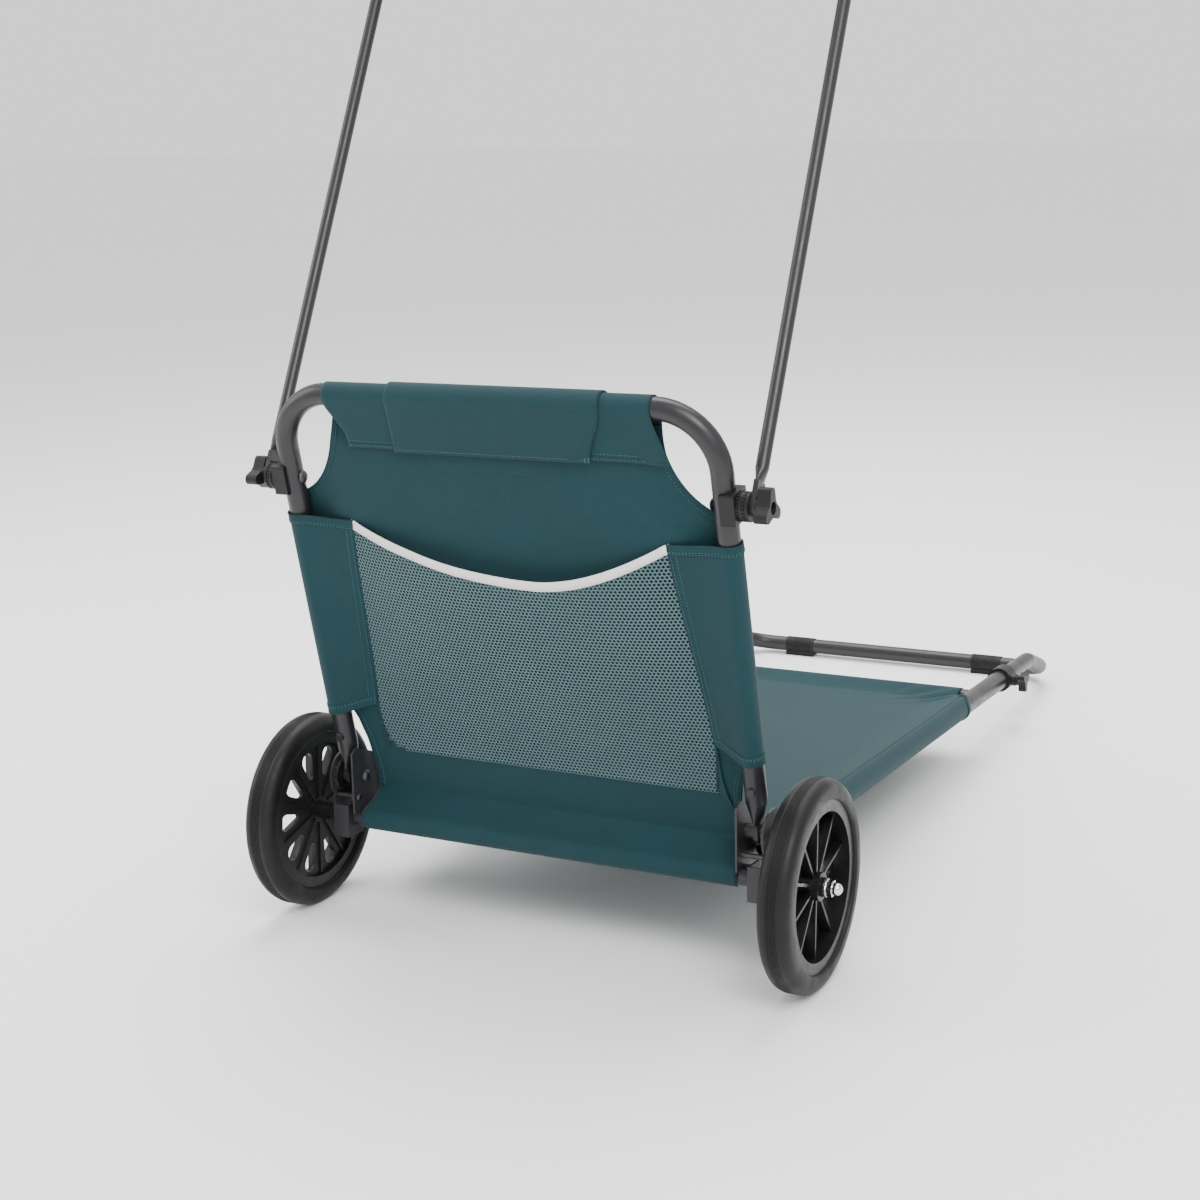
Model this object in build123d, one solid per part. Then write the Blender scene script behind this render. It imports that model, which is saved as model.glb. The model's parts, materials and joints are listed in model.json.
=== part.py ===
from build123d import *
import math
import os

# Folding beach cart and lounger. Millimetres, +Z up, +Y towards the foot of the deck.
# The origin is on the ground, in the middle of the cart's outline.

# ---- driving dimensions: frame ---------------------------------------------------------
rail_x = 235.0               # middle of each deck rail, from the centre line
leg_outset = 1.0             # the backrest legs stand this much wider than the rails
rail_diameter = 25.0
rail_wall = 1.2
slide_clearance = 0.3        # radial, hoop arm in rail
rail_height = 23.3           # rail middle above the axle, square to the deck
rail_rear = 24.0             # rear end of a rail, forward of the axle
rail_front = 880.0
cross_diameter = 22.0
cross_wall = 1.2
front_cross_setback = 146.5  # front cross tube behind the rails' front ends
weld_gap = 0.02              # between pieces welded or seated on each other
running_clearance = 0.05     # radial, between a pin and its hole
plate_gap = 0.1              # between a rail and the outer hinge plate

# ---- front hoop and its feet -----------------------------------------------------------
hoop_bend_ahead = 117.5      # where the arms turn down, ahead of the rails
hoop_foot_ahead = 110.3      # middle of the foot bar, ahead of that turn
hoop_drop = 34.8             # foot bar below the rails' middle
hoop_corner_radius = 50.0
hoop_arm_radius = 60.0
hoop_insert = 270.0          # arm length inside the rail when pushed in
hoop_wall = 1.2
pad_x = 147.0
pad_length = 44.0
pad_wall = 1.1
pad_sole = 4.0               # sole under the bar
pad_sole_width = 18.0
pad_rib_pitch = 4.3
pad_rib_depth = 0.8
pad_groove_half = 0.6
collar_length = 30.0
collar_wall = 3.6
collar_lip = 3.0             # collar past the rail's end
collar_gap = 0.1
boss_radius = 8.0
boss_height = 5.0
screw_radius = 3.0
screw_knob_radius = 15.0
screw_knob_length = 14.0
screw_hub_radius = 7.0
screw_lobe_radius = 3.8

# ---- wheels ----------------------------------------------------------------------------
wheel_radius = 105.0
spacer_length = 12.2         # from the outer hinge plate to the wheel's hub
barrel_length = 44.0
barrel_outer = 16.0          # hub's outer end, from the wheel's middle plane
tyre_width = 34.0
tyre_thickness = 20.3
tyre_shoulder = 9.0
tyre_chamfer = 3.0
rim_wall = 11.2
rim_width = 27.0
web_thickness = 4.0
web_inset = 6.5              # web, inwards from the wheel's middle plane
spoke_inset = 2.0            # middle of the spokes, which stand on both sides of the web
spoke_count = 10
spoke_thickness = 3.0
spoke_depth = 17.0
hole_large = 9.0             # radii of the egg-shaped holes' two ends
hole_small = 4.6
hole_length = 18.5           # between the centres of those ends
hole_margin = 4.0            # hole's large end to the rim
hub_radius = 14.0
barrel_radius = 9.5
bush_wall = 2.0
axle_radius = 5.0
axle_thread = 2.0            # axle into the cap nut's dome
washer_radius = 9.0
washer_thickness = 1.5
nut_across_flats = 15.0
nut_height = 6.0
nut_dome_radius = 6.2
nut_dome_rise = 3.0

# ---- hinge brackets --------------------------------------------------------------------
sheet = 2.2
channel_inset = 4.0          # inner flange inside the rail's middle
inner_plate_gap = 0.3        # between a rail and the inner hinge plate
channel_rear = -17.0
channel_front = 12.0
channel_bottom = -21.0
channel_web_top = 14.5
pivot_up = 46.0              # pivot along the leg from the leg's foot point
pivot_plate_radius = 26.0
pin_radius = 4.0
spacer_radius = 8.0
rail_rivet_y = 33.0
rail_tab = 9.0               # outer plate past the rail rivet
rail_tab_half = 11.0
stop_pin = (-12.0, 24.5)
stop_pin_radius = 2.6
ratchet_radius = 20.0
ratchet_thickness = 3.2
ratchet_steps = 18
ratchet_notch = 1.8

# ---- backrest --------------------------------------------------------------------------
leg_diameter = 22.0
leg_wall = 1.2
leg_foot_y = 15.2            # leg line crosses the axle's height here
back_lean = 15.92            # degrees back from square to the deck
top_bar_up = 482.9           # top bar's middle along the leg
back_bend_radius = 60.0
taper_top = 82.0
taper_end = 58.0
tongue_thickness = 5.0
tongue_half_width = 13.0
leg_rivet_up = 98.0
leg_rivet_radius = 2.3

# ---- fabric ----------------------------------------------------------------------------
cloth = 1.5                  # thickness of a rolled or sleeved layer
sheet_cloth = 2.4            # two layers of a stretched panel
cloth_gap = 0.05
top_sleeve_short = 1.0       # top sleeve's end, inside the start of the bar's bend
cut_corner = ((3.0, 48.0), (17.0, 80.0), (31.0, 96.0))   # corner cut-out: outwards, down
cut_low = 114.0              # cut-out meets the leg, down from the top bar
sleeve_drop = 126.9          # top of the side sleeves, down from the top bar
sleeve_bottom = 126.0
panel_bottom = 54.0
panel_bottom_inset = 38.0    # panel's lower corner, inside the leg
deck_sheet_lift = 3.0
deck_sleeve_rear = 62.0
deck_sleeve_front = 20.0     # rail sleeves end this far behind the front cross tube
deck_hem_inset = 39.0
rear_roll_inset = 28.0
crease_y = 18.0
pillow_half = 114.0
pillow_drop = 97.9           # pillow's lower edge, down from the top bar
pillow_thickness = 30.0
pillow_corner = 8.0
flap_drop = 52.9
flap_thickness = 2.2
flap_off = 2.5               # flap's lower edge stands off the panel
pocket_inset = 65.0
pocket_low = 80.0
pocket_drop = 132.9          # pocket's seams, down from the top bar
pocket_sag = 41.0
pocket_depth = 22.0
pocket_slope = 20.0
pocket_wall = 1.4
binding_height = 9.0

# ---- canopy and its clamps -------------------------------------------------------------
knob_drop = 90.2             # clamp axis, down the leg from the top bar
saddle_wall = 4.0
pole_outset = 14.0           # pole's middle, outside the saddle
pole_diameter = 12.7
pole_wall = 1.2
pole_lean = 39.8             # degrees forward from the leg
cross_rod_up = 560.0         # cross rod along the poles
cross_rod_slim = 1.0         # cross rod's radius below the poles'
cross_rod_ahead = 20.0       # the poles start to bend this far past the cross rod
pole_bend_radius = 160.0
pole_bend = 56.0
canopy_reach = 300.0
canopy_corner_radius = 60.0
canopy_gap = 0.1
canopy_side_gap = 0.4
canopy_corner_margin = 6.0
pole_round_start = 36.0
pole_flatten_length = 14.0
pole_flat = 5.0
pole_flat_half = 9.0
pole_flat_edge = 0.6
bolt_radius = 3.0
bolt_head_radius = 8.4
saddle_size = 30.0
disc_radius = 14.0
disc_teeth = 24
disc_tooth_radius = 0.8
disc_gap = 0.1
knob_reach = 19.0
knob_height = 17.5           # knob's outer face from the pole's middle
knob_lobe_length = 13.0
knob_hub_radius = 9.0
knob_lobe_radius = 5.4
knob_root_share = 0.85       # lobe's root against the hub's radius
knob_hollow_radius = 6.0
knob_hollow_depth = 4.0
knob_turns = (80, 60)        # where a lobe stands, on the right and the left knob

# ---- worked out from the above ---------------------------------------------------------
cross_radius = cross_diameter / 2
rail_radius = rail_diameter / 2
leg_radius = leg_diameter / 2
pole_radius = pole_diameter / 2
cross_rod_radius = pole_radius - cross_rod_slim
hoop_radius = rail_radius - rail_wall - slide_clearance
half_sheet = sheet_cloth / 2

leg_x = rail_x + leg_outset
channel_inner_x = rail_x - channel_inset
outer_plate_x = rail_x + rail_radius + plate_gap
inner_plate_x = rail_x - rail_radius - inner_plate_gap - sheet
hub_inner_x = outer_plate_x + sheet + spacer_length
wheel_x = hub_inner_x + barrel_length - barrel_outer
hub_outer_x = wheel_x + barrel_outer
washer_x = hub_outer_x + running_clearance
nut_x = washer_x + washer_thickness + weld_gap
axle_end = nut_x + nut_height + axle_thread
saddle_outer_x = leg_x + leg_radius + saddle_wall
pole_x = saddle_outer_x + pole_outset
knob_outer_x = pole_x + knob_height
rim_radius = wheel_radius - tyre_thickness

top_sleeve_half = leg_x - back_bend_radius - top_sleeve_short
panel_bottom_half = leg_x - panel_bottom_inset
pocket_half = leg_x - pocket_inset
deck_hem_half = rail_x - deck_hem_inset
rear_roll_half = rail_x - rear_roll_inset
sleeve_top = top_bar_up - sleeve_drop
knob_up = top_bar_up - knob_drop
pillow_low = top_bar_up - pillow_drop
flap_low = top_bar_up - flap_drop
pocket_high = top_bar_up - pocket_drop

front_cross_y = rail_front - front_cross_setback
hoop_bend_y = rail_front + hoop_bend_ahead
hoop_foot_y = hoop_bend_y + hoop_foot_ahead
screw_y = rail_front - collar_length / 2
foot_z = rail_height - hoop_drop
foot_height = hoop_radius + pad_sole
reach = math.hypot(hoop_foot_y, foot_z)
deck_slope = math.degrees(math.asin((wheel_radius - foot_height) / reach)
                          + math.atan2(foot_z, hoop_foot_y))
foot_ground_y = math.sqrt(reach ** 2 - (wheel_radius - foot_height) ** 2)
front_reach = foot_ground_y + hoop_radius + pad_wall
axle_y = (wheel_radius - front_reach) / 2

# The chassis frame has its origin on the axle, Y along the rails and Z square to the deck.
chassis = Pos(0, axle_y, wheel_radius) * Rot(-deck_slope, 0, 0)
# The back frame has Z along the legs and Y square to the backrest, towards the sitter.
back = chassis * Pos(0, leg_foot_y, 0) * Rot(back_lean, 0, 0)
# The pole frame has its origin on the clamp axis and Z along the poles.
pole = back * Pos(0, 0, knob_up) * Rot(-pole_lean, 0, 0)

lean = math.radians(back_lean)
pivot_y = leg_foot_y - pivot_up * math.sin(lean)
pivot_z = pivot_up * math.cos(lean)

nodes = {}


def add(name, place, *solids):
    placed = [place * solid for solid in solids]
    nodes[name] = placed[0] if len(placed) == 1 else Compound(children=placed)


def add_pair(name, place, solid):
    """The solid is the right one. Its mirror image is the left one."""
    add(name + "_right", place, solid)
    add(name + "_left", place, mirror(solid, about=Plane.YZ))


def both(solid):
    return [solid, mirror(solid, about=Plane.YZ)]


def rod_x(radius, x0, x1, y=0.0, z=0.0):
    return Pos((x0 + x1) / 2, y, z) * Rot(0, 90, 0) * Cylinder(radius, x1 - x0)


def rod_y(radius, y0, y1, x=0.0, z=0.0):
    return Pos(x, (y0 + y1) / 2, z) * Rot(90, 0, 0) * Cylinder(radius, y1 - y0)


def rod_z(radius, z0, z1, x=0.0, y=0.0):
    return Pos(x, y, (z0 + z1) / 2) * Cylinder(radius, z1 - z0)


def ring_x(inner, outer, x0, x1, y=0.0, z=0.0):
    return rod_x(outer, x0, x1, y, z) - rod_x(inner, x0 - 1, x1 + 1, y, z)


def block(x0, x1, y0, y1, z0, z1):
    middle = Pos((x0 + x1) / 2, (y0 + y1) / 2, (z0 + z1) / 2)
    return middle * Box(x1 - x0, y1 - y0, z1 - z0)


def swept(points, radii, radius):
    path = FilletPolyline(*points, radius=radii)
    return sweep(Plane(origin=path @ 0, z_dir=path % 0) * Circle(radius), path=path)


def plate_x(outline, x0, x1):
    """A flat plate square to X, from its (y, z) outline."""
    face = make_face(Plane.YZ * Polyline(*outline, close=True))
    return Pos(x0, 0, 0) * extrude(face, x1 - x0, dir=(1, 0, 0))


# ---- rails and cross tubes -------------------------------------------------------------

def rail():
    tube = rod_y(rail_radius, rail_rear, rail_front, rail_x, rail_height)
    tube -= rod_y(rail_radius - rail_wall, rail_rear - 1, rail_front + 1, rail_x, rail_height)
    tube -= rod_x(pin_radius + running_clearance, rail_x - 20, rail_x + 20, rail_rivet_y, rail_height)
    tube -= rod_x(screw_radius + slide_clearance, rail_x, rail_x + 20, screw_y, rail_height)
    return tube


def rear_cross_tube():
    half = channel_inner_x - weld_gap
    return ring_x(cross_radius - cross_wall, cross_radius, -half, half)


def front_cross_tube():
    tube = ring_x(cross_radius - cross_wall, cross_radius, -rail_x, rail_x, front_cross_y, rail_height)
    for side in (-1, 1):
        tube -= rod_y(rail_radius + weld_gap, 0, hoop_foot_y, side * rail_x, rail_height)
    return tube


# ---- hinge brackets --------------------------------------------------------------------

def hinge_bracket():
    """Folded channel: a rear web, a short inner flange and a tall rounded outer flange."""
    inner = block(channel_inner_x, channel_inner_x + sheet, channel_rear, channel_front,
                  channel_bottom, channel_web_top)
    outer = block(outer_plate_x, outer_plate_x + sheet, channel_rear, channel_front,
                  channel_bottom, pivot_z)
    outer += rod_x(pivot_plate_radius, outer_plate_x, outer_plate_x + sheet, pivot_y, pivot_z)
    tab_y = rail_rivet_y + rail_tab
    tab = ((pivot_y, pivot_z), (tab_y, rail_height + rail_tab_half), (tab_y, rail_height - rail_tab_half),
           (channel_front, rail_height - rail_tab_half))
    outer += plate_x(tab, outer_plate_x, outer_plate_x + sheet)
    web = block(channel_inner_x, outer_plate_x + sheet, channel_rear, channel_rear + sheet,
                channel_bottom, channel_web_top)
    floor = block(channel_inner_x, outer_plate_x + sheet, channel_rear, channel_front,
                  channel_bottom, channel_bottom + sheet)
    bracket = inner + outer + web + floor
    bracket -= rod_x(axle_radius + running_clearance, channel_inner_x - 1, outer_plate_x + 9)
    return bracket - hinge_holes()


def hinge_inner_plate():
    """Flat faceted plate that sits on the cross tube and holds the rail and the pivot."""
    outline = ((-21, 8), (-24, 74), (-16, 79.5), (19, 68), (40, 37), (rail_rivet_y + 7.5, 19),
               (13, 13), (0, 4))
    plate = plate_x(outline, inner_plate_x, inner_plate_x + sheet)
    plate -= rod_x(cross_radius + weld_gap, 0, outer_plate_x)
    return plate - hinge_holes()


def hinge_holes():
    span = (inner_plate_x - 2, outer_plate_x + sheet + 2)
    holes = rod_x(pin_radius + running_clearance, *span, pivot_y, pivot_z)
    holes += rod_x(pin_radius + running_clearance, *span, rail_rivet_y, rail_height)
    return holes + rod_x(stop_pin_radius + weld_gap, *span, *stop_pin)


def rivet(radius, x0, x1, y, z, head=1.75, dome=2.6):
    """Rivet along X with a domed head beyond each end of its grip."""
    body = rod_x(radius, x0, x1, y, z)
    base = radius * head
    for x, turn in ((x0, -90), (x1, 90)):
        cap = Pos(x, y, z) * Rot(0, turn, 0) * Pos(0, 0, dome / 2) * Cone(base, base * 0.6, dome)
        body += cap
    return body


def ratchet_disc():
    """Toothed disc fixed to the outer plate beside the leg's flattened end."""
    x1 = outer_plate_x - weld_gap
    bore = pin_radius + running_clearance
    disc = ring_x(bore, ratchet_radius, x1 - ratchet_thickness, x1, pivot_y, pivot_z)
    notch_circle = ratchet_radius + ratchet_notch / 3
    for k in range(ratchet_steps):
        angle = 2 * math.pi * k / ratchet_steps
        y = pivot_y + notch_circle * math.cos(angle)
        z = pivot_z + notch_circle * math.sin(angle)
        disc -= rod_x(ratchet_notch, x1 - ratchet_thickness - 1, x1 + 1, y, z)
    return disc


def pivot_spacer_inner():
    x0 = inner_plate_x + sheet + weld_gap
    x1 = leg_x - tongue_thickness / 2 - running_clearance
    return ring_x(pin_radius + running_clearance, spacer_radius, x0, x1, pivot_y, pivot_z)


def pivot_spacer_outer():
    x0 = leg_x + tongue_thickness / 2 + running_clearance
    x1 = outer_plate_x - ratchet_thickness - 2 * weld_gap
    return ring_x(pin_radius + running_clearance, spacer_radius, x0, x1, pivot_y, pivot_z)


# ---- axle and wheels -------------------------------------------------------------------

def rear_axle():
    return rod_x(axle_radius, -axle_end, axle_end)


def cap_nut():
    hexagon = RegularPolygon(nut_across_flats / 2, 6, major_radius=False)
    body = Pos(nut_x, 0, 0) * extrude(Plane.YZ * hexagon, nut_height)
    dome_x = nut_x + nut_height + nut_dome_rise
    dome = rod_x(nut_dome_radius, nut_x + nut_height, dome_x)
    dome += Pos(dome_x, 0, 0) * Sphere(nut_dome_radius)
    body += dome & block(nut_x, nut_x + 40, -20, 20, -20, 20)
    return body - rod_x(axle_radius + weld_gap, nut_x - 1, axle_end + weld_gap)


def axle_washer():
    return ring_x(axle_radius + running_clearance, washer_radius, washer_x, washer_x + washer_thickness)


def wheel_spacer():
    x0 = outer_plate_x + sheet + weld_gap
    return ring_x(axle_radius + running_clearance, spacer_radius, x0, hub_inner_x - running_clearance)


def cross_tube_plug():
    x1 = channel_inner_x - 2 * weld_gap
    return ring_x(axle_radius + running_clearance, cross_radius - cross_wall - weld_gap, x1 - 14, x1)


def egg(big, big_at, small, small_at):
    """Egg-shaped hole outline, its large end outwards."""
    return make_hull((Pos(big_at, 0) * Circle(big) + Pos(small_at, 0) * Circle(small)).edges())


def wheel_disc():
    """Moulded wheel in its own frame, its axis along Z and its outer side up."""
    bore = axle_radius + running_clearance + bush_wall
    disc = Cylinder(rim_radius, rim_width) - Cylinder(rim_radius - rim_wall, rim_width + 2)
    web = Pos(0, 0, -web_inset) * Cylinder(rim_radius - rim_wall + 1, web_thickness)
    hole_at = rim_radius - rim_wall - hole_margin - hole_large
    outline = egg(hole_large, hole_at, hole_small, hole_at - hole_length)
    hole = Pos(0, 0, -web_inset) * extrude(outline, web_thickness, both=True)
    spoke_inner = hub_radius - 2
    spoke_length = rim_radius - rim_wall + 1 - spoke_inner
    for k in range(spoke_count):
        turn = 360 / spoke_count
        web -= Rot(0, 0, (k + 0.5) * turn) * hole
        spoke = Box(spoke_length, spoke_thickness, spoke_depth)
        disc += Rot(0, 0, k * turn) * Pos(spoke_inner + spoke_length / 2, 0, -spoke_inset) * spoke
    hub = rod_z(hub_radius, -spoke_depth / 2 - spoke_inset, barrel_outer - web_thickness)
    hub += rod_z(barrel_radius, barrel_outer - barrel_length, barrel_outer)
    disc += web + hub
    return disc - rod_z(bore, -60, 60)


def tyre():
    """Solid rubber tyre with rounded shoulders, on the same frame as its wheel."""
    half = tyre_width / 2
    seat = rim_radius + weld_gap
    edge = wheel_radius - tyre_shoulder
    with BuildSketch(Plane.XZ) as section:
        with BuildLine():
            Line((seat, -half + tyre_chamfer), (seat, half - tyre_chamfer))
            Line((seat, half - tyre_chamfer), (seat + tyre_chamfer, half))
            Line((seat + tyre_chamfer, half), (edge, half - 1))
            crown = wheel_radius
            ThreePointArc((edge, half - 1), (crown - 2.4, half * 0.62), (crown, half * 0.22))
            Line((crown, half * 0.22), (crown, -half * 0.22))
            ThreePointArc((crown, -half * 0.22), (crown - 2.4, -half * 0.62), (edge, -half + 1))
            Line((edge, -half + 1), (seat + tyre_chamfer, -half))
            Line((seat + tyre_chamfer, -half), (seat, -half + tyre_chamfer))
        make_face()
    return revolve(section.sketch, Axis.Z)


def wheel_bush():
    inner = axle_radius + running_clearance
    z0 = barrel_outer - barrel_length
    return rod_z(inner + bush_wall - weld_gap, z0, barrel_outer) - rod_z(inner, z0 - 1, barrel_outer + 1)


# ---- backrest --------------------------------------------------------------------------

def back_path():
    return ((-leg_x, 0, taper_top), (-leg_x, 0, top_bar_up), (leg_x, 0, top_bar_up), (leg_x, 0, taper_top))


def leg_end():
    """The lower end of a leg, pressed flat into a tongue with the pivot hole."""
    top = Pos(leg_x, 0, taper_top) * Circle(leg_radius)
    low = Pos(leg_x, 0, taper_end) * Ellipse(tongue_thickness / 2, tongue_half_width)
    end = loft([top, low])
    half = tongue_thickness / 2
    end += block(leg_x - half, leg_x + half, -tongue_half_width + 1, tongue_half_width - 1,
                 pivot_up, taper_end + 3)
    end += rod_x(tongue_half_width - 1, leg_x - half, leg_x + half, 0, pivot_up)
    return end - rod_x(pin_radius + running_clearance, 0, leg_x + 40, 0, pivot_up)


def back_frame():
    frame = swept(back_path(), back_bend_radius, leg_radius)
    frame -= swept(back_path(), back_bend_radius, leg_radius - leg_wall)
    for end in both(leg_end()):
        frame += end
    frame -= rod_x(bolt_radius + running_clearance, -leg_x - 20, leg_x + 20, 0, knob_up)
    for x in (-leg_x, leg_x):
        frame -= rod_y(leg_rivet_radius + weld_gap, -leg_radius - 1, 0, x, leg_rivet_up)
    return frame


def leg_rivet():
    """Domed rivet in the rear wall of a leg."""
    head_radius = 2 * leg_rivet_radius
    dome = Pos(leg_x, -leg_radius, leg_rivet_up) * Sphere(head_radius)
    dome &= rod_y(head_radius, -leg_radius - leg_rivet_radius, -leg_radius + 4, leg_x, leg_rivet_up)
    dome -= rod_z(leg_radius + weld_gap, leg_rivet_up - 10, leg_rivet_up + 10, leg_x)
    return dome + rod_y(leg_rivet_radius, -leg_radius - 1, -leg_radius + leg_wall + 2, leg_x, leg_rivet_up)


def tube_keepout():
    return swept(back_path(), back_bend_radius, leg_radius + cloth_gap)


def back_fabric():
    """Panel between the legs with a sleeve on each leg and on the top bar."""
    corner = [(top_sleeve_half + out, top_bar_up - down) for out, down in cut_corner]
    right = [(top_sleeve_half, top_bar_up), *corner, (leg_x, top_bar_up - cut_low),
             (leg_x, sleeve_bottom + 4), (leg_x - leg_radius, sleeve_bottom),
             (panel_bottom_half + 2, pocket_low), (panel_bottom_half, panel_bottom)]
    left = [(-x, z) for x, z in reversed(right)]
    face = make_face(Plane.XZ * Polyline(*right, *left, close=True))
    panel = extrude(face, half_sheet, both=True)
    panel += rod_x(cross_radius + cloth, -top_sleeve_half, top_sleeve_half, 0, top_bar_up)
    for x in (-leg_x, leg_x):
        panel += rod_z(leg_radius + cloth, sleeve_bottom, sleeve_top, x)
    return panel - tube_keepout()


def head_pillow():
    """Pillow on the sitter's side, with the flap that carries it over the top bar."""
    r0 = leg_radius + cloth + 2 * cloth_gap
    r1 = r0 + flap_thickness
    front = block(-pillow_half, pillow_half, half_sheet + cloth_gap, pillow_thickness,
                  pillow_low, top_bar_up + 2)
    front = fillet(front.edges().filter_by(Axis.Z), pillow_corner)
    flap_y = -half_sheet - flap_off
    flap = plate_x(((-r1, top_bar_up), (-r0, top_bar_up), (flap_y, flap_low),
                    (flap_y - flap_thickness, flap_low)), -pillow_half, pillow_half)
    band = rod_x(r1, -pillow_half, pillow_half, 0, top_bar_up)
    band &= block(-300, 300, -60, 60, top_bar_up, top_bar_up + 60)
    pillow = front + band + flap
    return pillow - rod_x(r0, -300, 300, 0, top_bar_up)


def frustum(inset, deeper):
    """Solid body of the pocket: wide at the panel and narrower at its rear wall."""
    wide = pocket_half - inset
    narrow = wide - pocket_slope
    y0 = -half_sheet - 2 * cloth_gap + deeper
    y1 = -pocket_depth + (pocket_wall if inset else 0)
    low0 = pocket_low + inset
    low1 = low0 + pocket_slope
    high = pocket_high + (20 if inset else 0)

    def section(y, half, low):
        shape = Rectangle(2 * half, high - low)
        return Plane(origin=(0, y, (high + low) / 2), x_dir=(1, 0, 0), z_dir=(0, 1, 0)) * shape

    return loft([section(y0, wide, low0), section(y1, narrow, low1)])


def sag_cut(drop):
    """Everything above the pocket's slack top edge."""
    half = pocket_half + 5
    radius = (half ** 2 + pocket_sag ** 2) / (2 * pocket_sag)
    return rod_y(radius, -60, 10, 0, pocket_high - pocket_sag + radius - drop)


def mesh_pocket():
    pocket = frustum(0, 0) - frustum(pocket_wall, 1)
    return pocket - sag_cut(binding_height)


def pocket_binding():
    """Tape along the pocket's top edge."""
    tape = frustum(0, 0) - frustum(pocket_wall, 1)
    return (tape & sag_cut(binding_height - cloth_gap)) - sag_cut(0)


def pole_saddle():
    half = saddle_size / 2
    saddle = block(leg_x, saddle_outer_x, -half, half, knob_up - half, knob_up + half)
    saddle = fillet(saddle.edges().filter_by(Axis.X), 2)
    saddle -= swept(back_path(), back_bend_radius, leg_radius + weld_gap)
    return saddle - rod_x(bolt_radius + running_clearance, leg_x - 1, saddle_outer_x + 1, 0, knob_up)


def tooth_disc(x0, x1, z):
    """Clamp disc with a notched rim."""
    disc = ring_x(bolt_radius + running_clearance, disc_radius, x0, x1, 0, z)
    middle = (x0 + x1) / 2
    disc -= ring_x(disc_radius - disc_tooth_radius, disc_radius + 2, middle - 0.5, middle + 0.5, 0, z)
    for k in range(disc_teeth):
        angle = 2 * math.pi * k / disc_teeth
        disc -= rod_x(disc_tooth_radius, x0 - 1, middle, disc_radius * math.sin(angle),
                      z + disc_radius * math.cos(angle))
    return disc


def pole_bolt():
    """Carriage bolt through the leg, with its domed head on the inner side."""
    x_head = leg_x - leg_radius
    bolt = rod_x(bolt_radius, x_head - 2, knob_outer_x - 5, 0, knob_up)
    dome = Pos(x_head + bolt_head_radius / 2, 0, knob_up) * Sphere(bolt_head_radius)
    dome &= block(x_head - 6, x_head - 0.6, -10, 10, knob_up - 10, knob_up + 10)
    return bolt + dome + rod_x(bolt_radius + 1, x_head - 0.7, x_head - weld_gap, 0, knob_up)


# ---- canopy ----------------------------------------------------------------------------

def canopy_path(start):
    bend = math.radians(pole_bend)
    setback = pole_bend_radius * math.tan(bend / 2)
    knee = cross_rod_up + cross_rod_ahead + setback
    run = setback + canopy_reach
    tip = (run * math.sin(bend), knee + run * math.cos(bend))
    return ((-pole_x, 0, start), (-pole_x, 0, knee), (-pole_x, *tip), (pole_x, *tip),
            (pole_x, 0, knee), (pole_x, 0, start))


def canopy_radii():
    return [pole_bend_radius, canopy_corner_radius, canopy_corner_radius, pole_bend_radius]


def pole_end():
    """The lower end of a pole, pressed flat round the clamp bolt."""
    top = Pos(pole_x, 0, pole_round_start) * Circle(pole_radius)
    low = Pos(pole_x, 0, pole_round_start - pole_flatten_length) * Ellipse(pole_flat / 2, pole_flat_half)
    end = loft([top, low])
    half = pole_flat / 2
    width = pole_flat_half - pole_flat_edge
    end += block(pole_x - half, pole_x + half, -width, width, 0, pole_round_start - pole_flatten_length + 2)
    end += rod_x(width, pole_x - half, pole_x + half)
    return end - rod_x(bolt_radius + running_clearance, 0, pole_x + 40)


def canopy_frame():
    frame = swept(canopy_path(pole_round_start), canopy_radii(), pole_radius)
    frame -= swept(canopy_path(pole_round_start), canopy_radii(), pole_radius - pole_wall)
    for end in both(pole_end()):
        frame += end
    return frame


def canopy_cross_rod():
    rod = rod_x(cross_rod_radius, -pole_x, pole_x, 0, cross_rod_up)
    for x in (-pole_x, pole_x):
        rod -= rod_z(pole_radius + weld_gap, 0, cross_rod_up + cross_rod_ahead, x)
    return rod


def canopy_strip(ahead, offset, end):
    """Points on one side of the canopy sheet, in the poles' plane: start, bend, end."""
    bend = math.radians(pole_bend)
    start = cross_rod_up + cross_rod_ahead
    radius = pole_bend_radius + offset
    on_bend = [(pole_bend_radius - radius * math.cos(turn), start + radius * math.sin(turn))
               for turn in (0, bend / 2, bend)]
    run = end - ahead
    finish = (on_bend[2][0] + run * math.sin(bend), on_bend[2][1] + run * math.cos(bend))
    return [(-offset, cross_rod_up), *on_bend, finish]


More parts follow.
